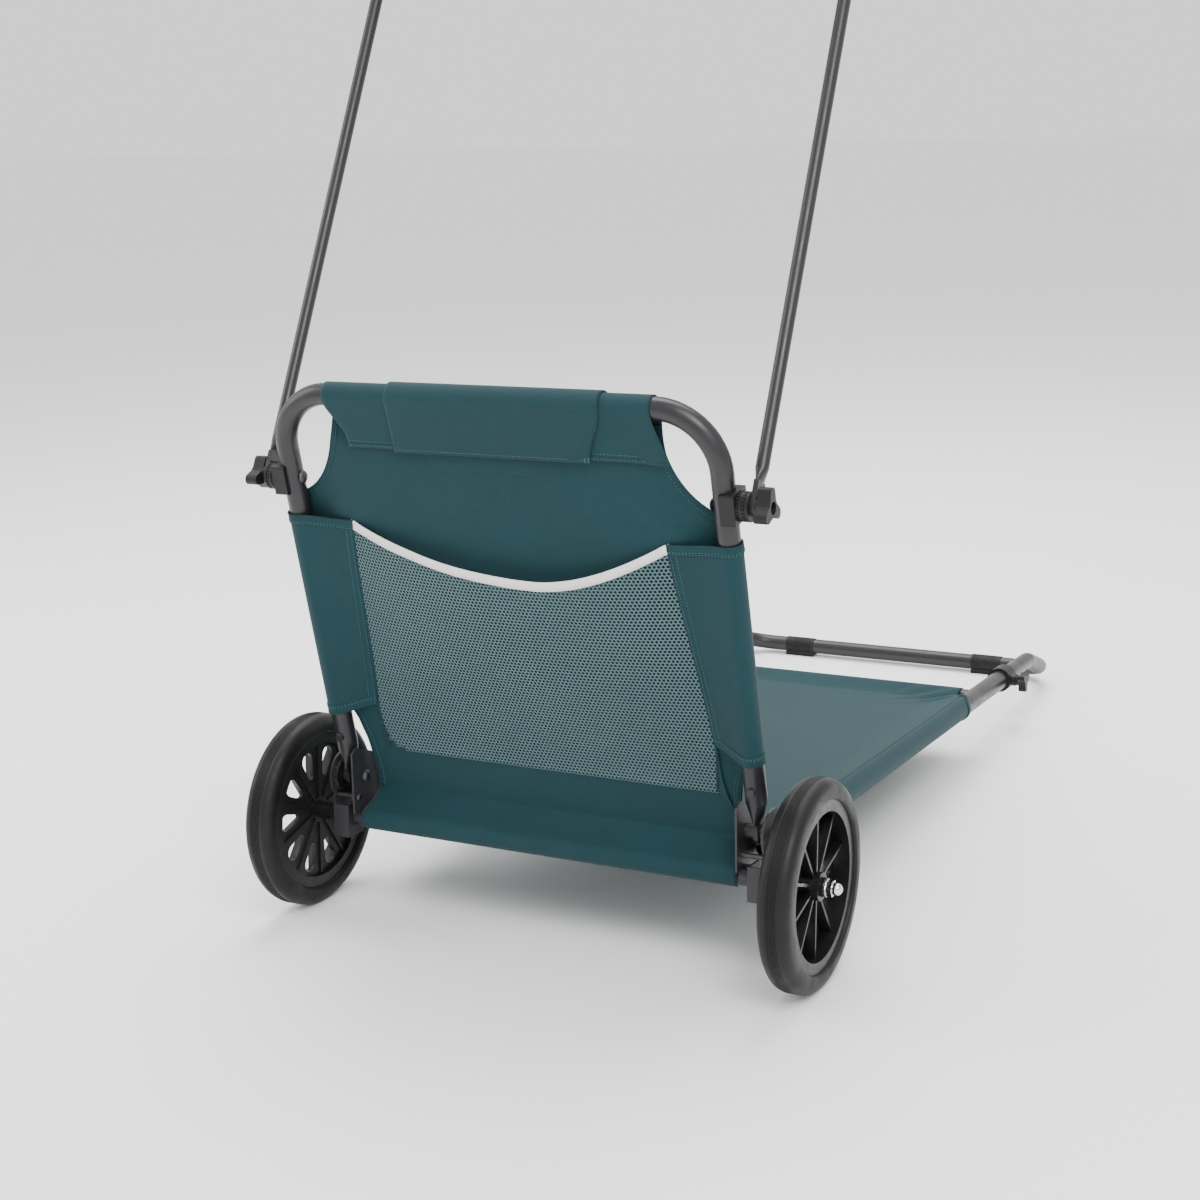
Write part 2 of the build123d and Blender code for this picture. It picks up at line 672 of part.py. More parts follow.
def canopy_fabric():
    """Sheet between the bent poles, rolled round the cross rod and the front bar."""
    margin = canopy_corner_radius + canopy_corner_margin
    outer = canopy_strip(margin, half_sheet, canopy_reach)
    inner = canopy_strip(margin, -half_sheet, canopy_reach)
    with BuildSketch(Plane.YZ) as side:
        with BuildLine():
            Line(outer[0], outer[1])
            ThreePointArc(outer[1], outer[2], outer[3])
            Line(outer[3], outer[4])
            Line(outer[4], inner[4])
            Line(inner[4], inner[3])
            ThreePointArc(inner[3], inner[2], inner[1])
            Line(inner[1], inner[0])
            Line(inner[0], outer[0])
        make_face()
    half = pole_x - pole_radius - canopy_side_gap
    front_half = pole_x - margin
    fabric = extrude(side.sketch, half, both=True)
    tongue = [canopy_strip(back_from_tip, offset, canopy_reach)[4] for back_from_tip, offset in
              ((margin + 2, half_sheet), (0, half_sheet), (0, -half_sheet), (margin + 2, -half_sheet))]
    fabric += plate_x(tongue, -front_half, front_half)
    tip = canopy_strip(0, 0, canopy_reach)[4]
    fabric += rod_x(pole_radius + canopy_gap + cloth, -front_half, front_half, *tip)
    fabric += rod_x(cross_rod_radius + canopy_gap + cloth, -half, half, 0, cross_rod_up)
    fabric -= rod_x(pole_radius + canopy_gap, -pole_x, pole_x, *tip)
    return fabric - rod_x(cross_rod_radius + canopy_gap, -pole_x, pole_x, 0, cross_rod_up)


# ---- knobs and clamp screws ------------------------------------------------------------

def lobed_knob(x0, x1, lobe_x, middle_radius, lobe_radius, knob_radius, bore, turn):
    """Three-lobed knob on an axis along X, its hub from x0 and its lobes from lobe_x to x1."""
    face = Circle(middle_radius)
    for k in range(3):
        angle = math.radians(turn + 120 * k)
        at = knob_radius - lobe_radius
        root = Circle(middle_radius * knob_root_share)
        tip = Pos(at * math.cos(angle), at * math.sin(angle)) * Circle(lobe_radius)
        face += make_hull((root + tip).edges())
    lobes = Pos(lobe_x, 0, 0) * extrude(Plane.YZ * face, x1 - lobe_x)
    knob = lobes + rod_x(middle_radius, x0, x1)
    return knob - rod_x(bore, x0 - 1, x1 - 3)


def pole_knob(turn):
    """Knob with a hollow in its outer face, where the bolt's end shows."""
    x0 = pole_x + pole_flat / 2 + running_clearance
    knob = lobed_knob(x0, knob_outer_x, knob_outer_x - knob_lobe_length, knob_hub_radius, knob_lobe_radius,
                      knob_reach, bolt_radius + running_clearance, turn)
    knob -= rod_x(knob_hollow_radius, knob_outer_x - knob_hollow_depth, knob_outer_x + 1)
    return Pos(0, 0, knob_up) * knob


def rail_collar():
    """Clamp ring on the front end of a rail, with a boss for its screw."""
    y0 = rail_front - collar_length + collar_lip
    y1 = rail_front + collar_lip
    outer = rail_radius + collar_wall
    ring = rod_y(outer, y0, y1, rail_x, rail_height)
    ring += rod_x(boss_radius, rail_x, rail_x + outer + boss_height, screw_y, rail_height)
    ring -= rod_y(rail_radius + weld_gap, y0 - 1, rail_front, rail_x, rail_height)
    ring -= rod_y(hoop_radius + collar_gap, y0 - 1, y1 + 1, rail_x, rail_height)
    return ring - rod_x(screw_radius + running_clearance, rail_x, rail_x + 60, screw_y, rail_height)


def clamp_screw():
    outer = rail_x + rail_radius + collar_wall + boss_height + collar_gap
    knob = lobed_knob(outer, outer + screw_knob_length, outer + 4, screw_hub_radius, screw_lobe_radius,
                      screw_knob_radius, screw_radius - 0.5, 30)
    knob += rod_x(screw_radius, rail_x + hoop_radius + collar_gap, outer + 6)
    return Pos(0, screw_y, rail_height) * knob


# ---- front hoop ------------------------------------------------------------------------

def hoop_path():
    start = rail_front - hoop_insert
    arm = ((rail_x, start, rail_height), (rail_x, hoop_bend_y, rail_height), (rail_x, hoop_foot_y, foot_z))
    return tuple((-x, y, z) for x, y, z in arm) + tuple(reversed(arm))


def front_hoop():
    radii = [hoop_arm_radius, hoop_corner_radius, hoop_corner_radius, hoop_arm_radius]
    return swept(hoop_path(), radii, hoop_radius) - swept(hoop_path(), radii, hoop_radius - hoop_wall)


def foot_pad():
    """Ribbed rubber pad on the foot bar, thicker below, with a flat sole."""
    half = pad_length / 2
    shell = hoop_radius + pad_wall
    pad = rod_x(shell, pad_x - half, pad_x + half)
    pad += block(pad_x - half, pad_x + half, -pad_sole_width / 2, pad_sole_width / 2, -foot_height, 0)
    ribs = int(pad_length / pad_rib_pitch) - 1
    for k in range(ribs):
        x = pad_x + (k - (ribs - 1) / 2) * pad_rib_pitch
        groove = ring_x(shell - pad_rib_depth, shell + 9, x - pad_groove_half, x + pad_groove_half)
        pad -= groove & block(x - 1, x + 1, -30, 30, -shell + 3, 30)
    return pad - rod_x(hoop_radius + weld_gap, pad_x - 60, pad_x + 60)


def hoop_glide():
    """Plug on the rear end of a hoop arm that runs in the rail's bore."""
    y1 = rail_front - hoop_insert - weld_gap
    bore = rail_radius - rail_wall
    glide = rod_y(bore - running_clearance, y1 - 6, y1, rail_x, rail_height)
    return glide + rod_y(hoop_radius - hoop_wall - weld_gap, y1 - 1, y1 + 12, rail_x, rail_height)


# ---- deck fabric -----------------------------------------------------------------------

def deck_fabric():
    """Deck sheet with a sleeve on each rail, rolled round both cross tubes."""
    height = rail_height + deck_sheet_lift
    low = height - half_sheet
    high = height + half_sheet
    sleeve_end = front_cross_y - deck_sleeve_front
    deck = block(-rail_x, rail_x, deck_sleeve_rear, sleeve_end, low, high)
    deck += block(-rear_roll_half, rear_roll_half, crease_y, deck_sleeve_rear + 1, low, high)
    deck += block(-deck_hem_half, deck_hem_half, sleeve_end - 1, front_cross_y, low, high)
    for x in (-rail_x, rail_x):
        deck += rod_y(rail_radius + cloth, deck_sleeve_rear, sleeve_end, x, rail_height)
    deck += rod_x(cross_radius + cloth, -deck_hem_half, deck_hem_half, front_cross_y, rail_height)
    deck += rod_x(cross_radius + cloth, -rear_roll_half, rear_roll_half)
    strip = ((crease_y + 1, high), (crease_y + 1, low), (0, cross_radius - 1),
             (-cross_radius + 2, cross_radius - 4), (-cross_radius + 1, cross_radius - 1))
    deck += plate_x(strip, -rear_roll_half, rear_roll_half)
    for x in (-rail_x, rail_x):
        deck -= rod_y(rail_radius + cloth_gap, 0, hoop_foot_y, x, rail_height)
    deck -= rod_x(cross_radius + cloth_gap, -rail_x, rail_x, front_cross_y, rail_height)
    return deck - rod_x(cross_radius + cloth_gap, -rail_x, rail_x)


# ---- assembly --------------------------------------------------------------------------

add_pair("rail", chassis, rail())
add("rear_cross_tube", chassis, rear_cross_tube())
add("front_cross_tube", chassis, front_cross_tube())
add_pair("hinge_bracket", chassis, hinge_bracket())
add_pair("hinge_inner_plate", chassis, hinge_inner_plate())
add_pair("ratchet_disc", chassis, ratchet_disc())
add("pivot_spacers", chassis, *both(pivot_spacer_inner()), *both(pivot_spacer_outer()))
plates = (inner_plate_x - weld_gap, outer_plate_x + sheet + weld_gap)
add("hinge_pivot_rivets", chassis, *both(rivet(pin_radius, *plates, pivot_y, pivot_z)))
add("rail_rivets", chassis, *both(rivet(pin_radius, *plates, rail_rivet_y, rail_height)))
add("stop_pins", chassis, *both(rivet(stop_pin_radius, *plates, *stop_pin, dome=1.6)))
add("rear_axle", chassis, rear_axle())
add("cross_tube_plugs", chassis, *both(cross_tube_plug()))
add("wheel_spacers", chassis, *both(wheel_spacer()))
add("axle_washers", chassis, *both(axle_washer()))
add("axle_cap_nuts", chassis, *both(cap_nut()))
add("deck_fabric", chassis, deck_fabric())
add_pair("rail_collar", chassis, rail_collar())

wheel_place = Pos(wheel_x, 0, 0) * Rot(0, 90, 0)
add_pair("wheel_disc", chassis, wheel_place * wheel_disc())
add_pair("tyre", chassis, wheel_place * tyre())
add_pair("wheel_bush", chassis, wheel_place * wheel_bush())

add("back_frame", back, back_frame())
add("leg_rivets", back, *both(leg_rivet()))
add("back_fabric", back, back_fabric())
add("head_pillow", back, head_pillow())
add("mesh_pocket", back, mesh_pocket())
add("pocket_binding", back, pocket_binding())
add_pair("pole_saddle", back, pole_saddle())
fixed_disc = (saddle_outer_x + weld_gap, (saddle_outer_x + pole_x - pole_flat / 2 - disc_gap) / 2)
moving_disc = (fixed_disc[1] + disc_gap, pole_x - pole_flat / 2 - weld_gap)
add_pair("fixed_tooth_disc", back, tooth_disc(*fixed_disc, knob_up))
add("pole_bolts", back, *both(pole_bolt()))
add("pole_knob_right", back, pole_knob(knob_turns[0]))
add("pole_knob_left", back, mirror(pole_knob(knob_turns[1]), about=Plane.YZ))

add("canopy_frame", pole, canopy_frame())
add("canopy_cross_rod", pole, canopy_cross_rod())
add("canopy_fabric", pole, canopy_fabric())
add_pair("moving_tooth_disc", pole, tooth_disc(*moving_disc, 0))

add("front_hoop", chassis, front_hoop())
foot_place = chassis * Pos(0, hoop_foot_y, foot_z) * Rot(deck_slope, 0, 0)
add_pair("foot_pad", foot_place, foot_pad())
add("hoop_glides", chassis, *both(hoop_glide()))
add_pair("clamp_screw", chassis, clamp_screw())

os.makedirs("parts", exist_ok=True)
for name, shape in nodes.items():
    export_step(shape, f"parts/{name}.step")
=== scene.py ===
import json
import math

import bpy
from mathutils import Matrix, Vector, noise


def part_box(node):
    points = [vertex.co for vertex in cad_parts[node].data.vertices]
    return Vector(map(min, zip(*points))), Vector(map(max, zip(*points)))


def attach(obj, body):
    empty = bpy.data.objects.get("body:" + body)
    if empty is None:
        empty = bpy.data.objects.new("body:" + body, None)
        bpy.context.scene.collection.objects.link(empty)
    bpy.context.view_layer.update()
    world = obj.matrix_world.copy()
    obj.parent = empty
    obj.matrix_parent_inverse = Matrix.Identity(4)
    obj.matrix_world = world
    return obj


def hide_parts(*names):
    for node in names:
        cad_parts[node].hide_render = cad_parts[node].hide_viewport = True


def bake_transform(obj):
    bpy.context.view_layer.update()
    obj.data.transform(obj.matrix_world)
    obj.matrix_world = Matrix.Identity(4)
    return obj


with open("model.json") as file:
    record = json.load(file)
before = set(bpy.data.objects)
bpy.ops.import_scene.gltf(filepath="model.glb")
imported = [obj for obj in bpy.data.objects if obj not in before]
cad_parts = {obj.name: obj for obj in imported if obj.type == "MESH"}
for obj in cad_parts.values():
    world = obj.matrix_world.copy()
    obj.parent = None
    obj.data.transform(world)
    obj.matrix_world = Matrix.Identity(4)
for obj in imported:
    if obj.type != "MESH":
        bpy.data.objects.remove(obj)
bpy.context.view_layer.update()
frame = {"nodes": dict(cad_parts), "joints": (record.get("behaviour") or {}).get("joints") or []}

# Beach cart looks. Metres. Three places from the frame: the chassis (origin on the axle, Y along
# the rails), the back (Z along the backrest's legs, Y towards the sitter) and the poles.

# ---- sizes ----
MM = 0.001
PIVOT_UP = 46 * MM           # recline pivot along the leg from the leg's foot point
POLE_LEAN = math.radians(39.8)
LEG_R = 11.0 * MM
RAIL_R = 12.5 * MM
CROSS_R = 11.0 * MM
POLE_R = 6.35 * MM
ROD_R = 5.35 * MM
CLOTH = 1.1 * MM             # thickness of one layer of cloth
SLEEVE_R = LEG_R + 0.9 * MM  # middle of the cloth round a leg
MARK = {1: "right", -1: "left"}


def in_mm(*pairs):
    """Pairs written in millimetres, in metres."""
    return tuple((a * MM, b * MM) for a, b in pairs)


# ---- places ----
joints = {j["name"]: j for j in frame["joints"]}


def placed(origin, z_axis):
    """Place with X across the cart and Z along z_axis."""
    x_axis = Vector((1, 0, 0))
    z_axis = Vector(z_axis).normalized()
    y_axis = z_axis.cross(x_axis)
    turn = Matrix((x_axis, y_axis, z_axis)).transposed().to_4x4()
    return Matrix.Translation(origin) @ turn


def middle(node):
    low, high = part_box(node)
    return (low + high) / 2


def local_box(node, place):
    """Lowest and highest corner of a CAD node in one of the places."""
    inverse = place.inverted()
    points = [inverse @ v.co for v in frame["nodes"][node].data.vertices]
    low = [min(p[k] for p in points) for k in range(3)]
    high = [max(p[k] for p in points) for k in range(3)]
    return Vector(low), Vector(high)


rail_way = Vector(joints["hoop_slide"]["axis"])
chassis = placed(middle("rear_axle"), Vector((1, 0, 0)).cross(rail_way))
pivot = Vector(joints["recline"]["pos_m"])
clamp = Vector(joints["canopy_tilt"]["pos_m"])
leg_way = (clamp - pivot).normalized()
back = placed(pivot - leg_way * PIVOT_UP, leg_way)
pole = placed(clamp, Matrix.Rotation(-POLE_LEAN, 3, "X") @ leg_way)

BACK_OUT = back.to_3x3() @ Vector((0, -1, 0))
BACK_UP = back.to_3x3() @ Vector((0, 0, 1))
DECK_UP = chassis.to_3x3() @ Vector((0, 0, 1))
DECK_AHEAD = chassis.to_3x3() @ Vector((0, 1, 0))

leg_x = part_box("back_frame")[1].x - LEG_R
rail_x = middle("rail_right").x
rail_z = local_box("rail_right", chassis)[1].z - RAIL_R
bar_up = local_box("back_frame", back)[1].z - LEG_R
front_y = sum(corner.y for corner in local_box("front_cross_tube", chassis)) / 2
pole_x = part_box("canopy_frame")[1].x - POLE_R
rod_up = sum(corner.z for corner in local_box("canopy_cross_rod", pole)) / 2


def linked(name, data):
    """New object in the scene."""
    made = bpy.data.objects.new(name, data)
    bpy.context.scene.collection.objects.link(made)
    return made


# ---- camera ----
CAMERA_AT = (0.9377, -1.7326, 0.6219)    # from the axle's middle, in the chassis' directions
CAMERA_YAW = math.radians(26.8)          # to the left of the rails' direction
CAMERA_PITCH = math.radians(10.54)       # downwards from it
LENS = 59.74


def make_camera():
    """Behind the backrest, to its right and above it."""
    yaw, pitch = CAMERA_YAW, CAMERA_PITCH
    level = Vector((-math.sin(yaw), math.cos(yaw), 0))
    forward = level * math.cos(pitch) - Vector((0, 0, math.sin(pitch)))
    right = Vector((math.cos(yaw), math.sin(yaw), 0))
    up = right.cross(forward)
    turn = Matrix((right, up, -forward)).transposed().to_4x4()
    data = bpy.data.cameras.new("camera")
    data.lens = LENS
    data.sensor_width = 36
    camera = linked("camera", data)
    camera.matrix_world = chassis @ Matrix.Translation(CAMERA_AT) @ turn
    bpy.context.scene.camera = camera


make_camera()


# ---- materials ----
class Nodes:
    """A material's node tree with short calls for what the materials here need."""

    def __init__(self, name, color, roughness, metallic=0.0):
        self.material = bpy.data.materials.new(name)
        self.material.use_nodes = True
        self.tree = self.material.node_tree
        self.shader = self.tree.nodes["Principled BSDF"]
        self.color = color
        self.set("Base Color", (*color, 1))
        self.set("Roughness", roughness)
        self.set("Metallic", metallic)

    def set(self, socket, value):
        self.shader.inputs[socket].default_value = value

    def add(self, kind, inputs=None, **values):
        node = self.tree.nodes.new("ShaderNode" + kind)
        for key, value in values.items():
            setattr(node, key, value)
        for key, value in (inputs or {}).items():
            if isinstance(value, bpy.types.NodeSocket):
                self.tree.links.new(value, node.inputs[key])
            else:
                node.inputs[key].default_value = value
        return node

    def place(self, kind="Object", stretch=(1, 1, 1)):
        """Texture coordinates in metres: the object's own, or its cloth's."""
        source = self.add("TexCoord").outputs[kind]
        return self.add("Mapping", {"Vector": source, "Scale": stretch}).outputs["Vector"]

    def noise(self, where, scale, detail=3.0, roughness=0.55):
        sockets = {"Vector": where, "Scale": scale, "Detail": detail, "Roughness": roughness}
        return self.add("TexNoise", sockets).outputs["Fac"]

    def math(self, kind, a, b=0.5):
        return self.add("Math", {0: a, 1: b}, operation=kind).outputs[0]

    def spread(self, value, low, high):
        """Noise, which stays mostly between 0.3 and 0.7, spread from low to high."""
        sockets = {"Value": value, "From Min": 0.3, "From Max": 0.7, "To Min": low, "To Max": high}
        return self.add("MapRange", sockets).outputs["Result"]

    def tint(self, value, dark, light):
        """Colour between two shades of the base colour."""
        mix = self.add("Mix", data_type="RGBA")
        self.tree.links.new(value, mix.inputs["Factor"])
        mix.inputs[6].default_value = (*[c * dark for c in self.color], 1)
        mix.inputs[7].default_value = (*[min(1, c * light) for c in self.color], 1)
        self.tree.links.new(mix.outputs[2], self.shader.inputs["Base Color"])

    def rough(self, value, low, high):
        self.tree.links.new(self.spread(value, low, high), self.shader.inputs["Roughness"])

    def bump(self, height, strength, distance):
        made = self.add("Bump", {"Height": height, "Strength": strength, "Distance": distance})
        self.tree.links.new(made.outputs["Normal"], self.shader.inputs["Normal"])


def paint(name, color, roughness=0.4, grain=900):
    """Powder coat: an orange-peel skin with slightly uneven gloss."""
    m = Nodes(name, color, roughness)
    where = m.place()
    m.tint(m.noise(where, 35, 4), 0.86, 1.12)
    m.rough(m.noise(where, 60, 4), roughness - 0.06, roughness + 0.08)
    m.bump(m.noise(where, grain, 2), 0.12, 0.00015)
    m.set("Specular IOR Level", 0.42)
    m.set("Coat Weight", 0.08)
    m.set("Coat Roughness", 0.3)
    return m.material


def metal(name, color, roughness, brushed=1.0):
    """Bare metal, with streaks along X where brushed is above 1."""
    m = Nodes(name, color, roughness, 1.0)
    where = m.place(stretch=(1, brushed, brushed))
    m.rough(m.noise(where, 180, 4), roughness * 0.7, roughness * 1.5)
    m.bump(m.noise(where, 500, 3), 0.06, 0.0001)
    return m.material


def plastic(name, color, roughness=0.42, grain=1400, coat=0.0):
    """Moulded plastic with a fine spark-eroded texture."""
    m = Nodes(name, color, roughness)
    where = m.place()
    m.tint(m.noise(where, 50, 3), 0.8, 1.25)
    m.rough(m.noise(where, 90, 3), roughness - 0.05, roughness + 0.1)
    m.bump(m.noise(where, grain, 2), 0.18, 0.0002)
    m.set("Specular IOR Level", 0.3)
    m.set("Coat Weight", coat)
    return m.material


def rubber(name, color, roughness=0.6):
    m = Nodes(name, color, roughness)
    where = m.place()
    m.tint(m.noise(where, 22, 5, 0.65), 0.7, 1.5)
    m.rough(m.noise(where, 40, 5, 0.65), roughness - 0.12, roughness + 0.12)
    m.bump(m.noise(where, 700, 3), 0.15, 0.0002)
    m.set("Specular IOR Level", 0.28)
    return m.material


def cloth(name, color, thread=0.75 * MM, roughness=0.8, weave=0.35, mottle=(0.78, 1.3)):
    """Plain weave on the cloth's own coordinates: threads over and under in both directions."""
    m = Nodes(name, color, roughness)
    where = m.place("UV")
    split = m.add("SeparateXYZ", {"Vector": where})
    turns = 2 * math.pi / (2 * thread)
    warp = m.math("SINE", m.math("MULTIPLY", split.outputs["X"], turns))
    weft = m.math("SINE", m.math("MULTIPLY", split.outputs["Y"], turns))
    over = m.math("MULTIPLY_ADD", m.math("MULTIPLY", warp, weft), 0.5)
    along = m.noise(m.place("UV", (50, 900, 1)), 1.0, 2)
    across = m.noise(m.place("UV", (900, 50, 1)), 1.0, 2)
    soft = m.noise(m.place("UV"), 9, 4, 0.6)
    shade = m.math("MULTIPLY", over, 0.2)
    for part in (along, across, soft):
        shade = m.math("ADD", shade, m.math("MULTIPLY", part, 0.3))
    m.tint(m.spread(shade, 0, 1), *mottle)
    m.bump(over, weave, 0.00025)
    m.set("Specular IOR Level", 0.25)
    m.set("Sheen Weight", 0.05)
    m.set("Sheen Roughness", 0.5)
    return m.material


PAINT = paint("frame_paint", (0.0115, 0.0108, 0.0130), 0.36)
BRACKET = paint("bracket_paint", (0.018, 0.017, 0.020), 0.42)
DARK_STEEL = metal("dark_steel", (0.08, 0.08, 0.085), 0.42)
ZINC = metal("bright_zinc", (0.72, 0.72, 0.74), 0.16)
AXLE_STEEL = metal("axle_steel", (0.35, 0.35, 0.36), 0.3, 8.0)
TEAL = cloth("teal_fabric", (0.0030, 0.0270, 0.0330))
PILLOW = cloth("pillow_fabric", (0.0034, 0.0270, 0.0330), weave=0.45)
THREAD = cloth("teal_thread", (0.022, 0.088, 0.098), 0.3 * MM, 0.6, 0.6)
NET = cloth("pocket_net", (0.075, 0.125, 0.135), 0.35 * MM, 0.65, 0.3)
TAPE = cloth("white_tape", (0.74, 0.73, 0.71), 0.6 * MM, 0.75, 0.5, (0.93, 1.04))
WHEEL = plastic("wheel_plastic", (0.006, 0.006, 0.0065), 0.38, coat=0.1)
KNOB = plastic("knob_plastic", (0.007, 0.007, 0.0075), 0.45)
NYLON = plastic("nylon", (0.45, 0.45, 0.42), 0.4)
TYRE = rubber("tyre_rubber", (0.0035, 0.0035, 0.0038), 0.5)
PAD = rubber("pad_rubber", (0.006, 0.006, 0.006), 0.6)

# A name that ends in _ is a left and a right node.
CAD_LOOKS = (
    (PAINT, "rail_ rear_cross_tube front_cross_tube back_frame canopy_frame canopy_cross_rod front_hoop"),
    (PAINT, "leg_rivets"),
    (BRACKET, "hinge_bracket_ hinge_inner_plate_"),
    (DARK_STEEL, "ratchet_disc_ pivot_spacers hinge_pivot_rivets rail_rivets stop_pins pole_bolts"),
    (AXLE_STEEL, "rear_axle"),
    (ZINC, "axle_washers axle_cap_nuts"),
    (KNOB, "cross_tube_plugs wheel_spacers hoop_glides rail_collar_ clamp_screw_ pole_saddle_"),
    (KNOB, "fixed_tooth_disc_ moving_tooth_disc_ pole_knob_"),
    (WHEEL, "wheel_disc_"),
    (NYLON, "wheel_bush_"),
    (PAD, "foot_pad_"),
)


def give_looks():
    for look, names in CAD_LOOKS:
        for name in names.split():
            for node in ([name + "left", name + "right"] if name.endswith("_") else [name]):
                slots = frame["nodes"][node].data.materials
                slots.clear()
                slots.append(look)


give_looks()


# ---- mesh helpers ----
def new_piece(name, points, faces, material, uvs=None, smooth=True):
    mesh = bpy.data.meshes.new(name)
    mesh.from_pydata([tuple(p) for p in points], [], faces)
    mesh.materials.append(material)
    layer = mesh.uv_layers.new(name="cloth")
    for loop in mesh.loops:
        v = loop.vertex_index
        layer.data[loop.index].uv = uvs[v] if uvs else (points[v][0], points[v][2])
    for polygon in mesh.polygons:
        polygon.use_smooth = smooth
    return linked(name, mesh)


def settled(obj):
    """The same object with its modifiers applied to its mesh."""
    graph = bpy.context.evaluated_depsgraph_get()
    mesh = bpy.data.meshes.new_from_object(obj.evaluated_get(graph), depsgraph=graph)
    obj.modifiers.clear()
    obj.data = mesh
    return obj


def thicken(obj, thickness):
    solid = obj.modifiers.new("thickness", "SOLIDIFY")
    solid.thickness = thickness
    solid.offset = 0.0
    return settled(obj)


def quads(rows, count, first=0):
    """Faces of a grid of points, from its first point on, with count points in a row."""
    return [(a, a + 1, a + count + 1, a + count)
            for r in range(rows - 1) for a in range(first + r * count, first + (r + 1) * count - 1)]


def runs(points):
    """Length along the points up to each of them."""
    made = [0.0]
    for p, q in zip(points, points[1:]):
        made.append(made[-1] + (q - p).length)
    return made


def sheet_of(name, rows, material=TEAL, thickness=CLOTH):
    """Cloth through rows of points, all rows with the same count."""
    count = len(rows[0])
    half = count // 2
    uvs = []
    for row, down in zip(rows, runs([row[half] for row in rows])):
        across = runs(row)
        uvs += [(u - across[half], down) for u in across]
    points = [p for row in rows for p in row]
    return thicken(new_piece(name, points, quads(len(rows), count), material, uvs), thickness)


def smoothstep(low, high, value):
    t = min(1.0, max(0.0, (value - low) / (high - low)))
    return t * t * (3 - 2 * t)


def between(table, value):
    """Value read off a short list of (key, value) pairs, with straight runs between them."""
    if value <= table[0][0]:
        return table[0][1]
    for (k0, v0), (k1, v1) in zip(table, table[1:]):
        if value <= k1:
            return v0 + (v1 - v0) * (value - k0) / (k1 - k0)
    return table[-1][1]


def steps(low, high, pitch):
    count = max(1, round((high - low) / pitch))
    return [low + (high - low) * k / count for k in range(count + 1)]


def ripple(x, y, scale, seed):
    """Soft uneven relief of cloth, from about -1 to 1."""
    return noise.noise(Vector((x * scale, y * scale, seed)))


def arc(center, radius, start, end, count):
    """Points (a, b) on an arc, angles in degrees."""
    made = []
    for k in range(count + 1):
        angle = math.radians(start + (end - start) * k / count)
        made.append((center[0] + radius * math.cos(angle), center[1] + radius * math.sin(angle)))
    return made


def straight(start, end, pitch, bow=0.0):
    """Points (a, b) on the way to end, without start. They bow out by up to bow along b."""
    return [(start[0] + (end[0] - start[0]) * t,
             start[1] + (end[1] - start[1]) * t + bow * math.sin(math.pi * t))
            for t in steps(0, 1, pitch)[1:]]


def tangent_angle(far, radius):
    """Degrees between the line to a point far from a tube's middle and the tube's tangent point."""
    return math.degrees(math.acos(radius / far))


TAPE_SHAPE = ((-0.5, 0.0), (-0.47, 0.8), (-0.34, 1.0), (-0.27, 0.25), (-0.2, 1.0), (0.2, 1.0),
              (0.27, 0.25), (0.34, 1.0), (0.47, 0.8), (0.5, 0.0))    # shares of width and rise


def band(name, line, across, width, rise):
    """Flat tape with soft edges along (point, outward) pairs, its width along across."""
    points = []
    for (p, out), a in zip(line, across):
        points += [p + a * width * u + out * rise * h for u, h in TAPE_SHAPE]
    n = len(TAPE_SHAPE)
    last = (len(line) - 1) * n
    faces = []
    for first in range(0, last, n):
        for c in range(n):
            a, b = first + c, first + (c + 1) % n
            faces.append((a, b, b + n, a + n))
    faces.append(tuple(range(n)))
    faces.append(tuple(reversed(range(last, last + n))))
    uvs = [(u * width, run) for run in runs([p for p, _ in line]) for u, _ in TAPE_SHAPE]
    return new_piece(name, points, faces, TEAL, uvs)


def stitches(name, lines, material=THREAD, pitch=3.6 * MM, length=2.6 * MM, radius=0.32 * MM):
    """Lock stitches along lines of (point, outward) pairs, each a short bead of thread."""
    points, faces = [], []
    for line in lines:
        run = 0.0
        due = pitch / 2
        for (p, out), (q, _) in zip(line, line[1:]):
            step = q - p
            size = step.length
            if size < 1e-9:
                continue
            way = step / size
            side = way.cross(out).normalized()
            up = side.cross(way)
            while due <= run + size:
                at = p + way * (due - run)
                base = len(points)
                for along, fat in ((-0.5, 0.25), (-0.3, 1.0), (0.3, 1.0), (0.5, 0.25)):
                    for k in range(6):
                        angle = math.pi * k / 3
                        ring = side * math.cos(angle) * radius * 1.3 + up * math.sin(angle) * radius
                        points.append(at + way * along * length + ring * fat)
                for r in range(3):
                    for k in range(6):
                        a, b = base + r * 6 + k, base + r * 6 + (k + 1) % 6
                        faces.append((a, b, b + 6, a + 6))
                faces.append(tuple(base + k for k in reversed(range(6))))
                faces.append(tuple(base + 18 + k for k in range(6)))
                due += pitch
            run += size
    return new_piece(name, points, faces, material)


def finish_soft(obj, body, *nodes, slot="teal_fabric"):
    """The piece rides on a body and replaces the CAD nodes."""
    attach(obj, body)
    if nodes:
        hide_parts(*nodes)
    return obj


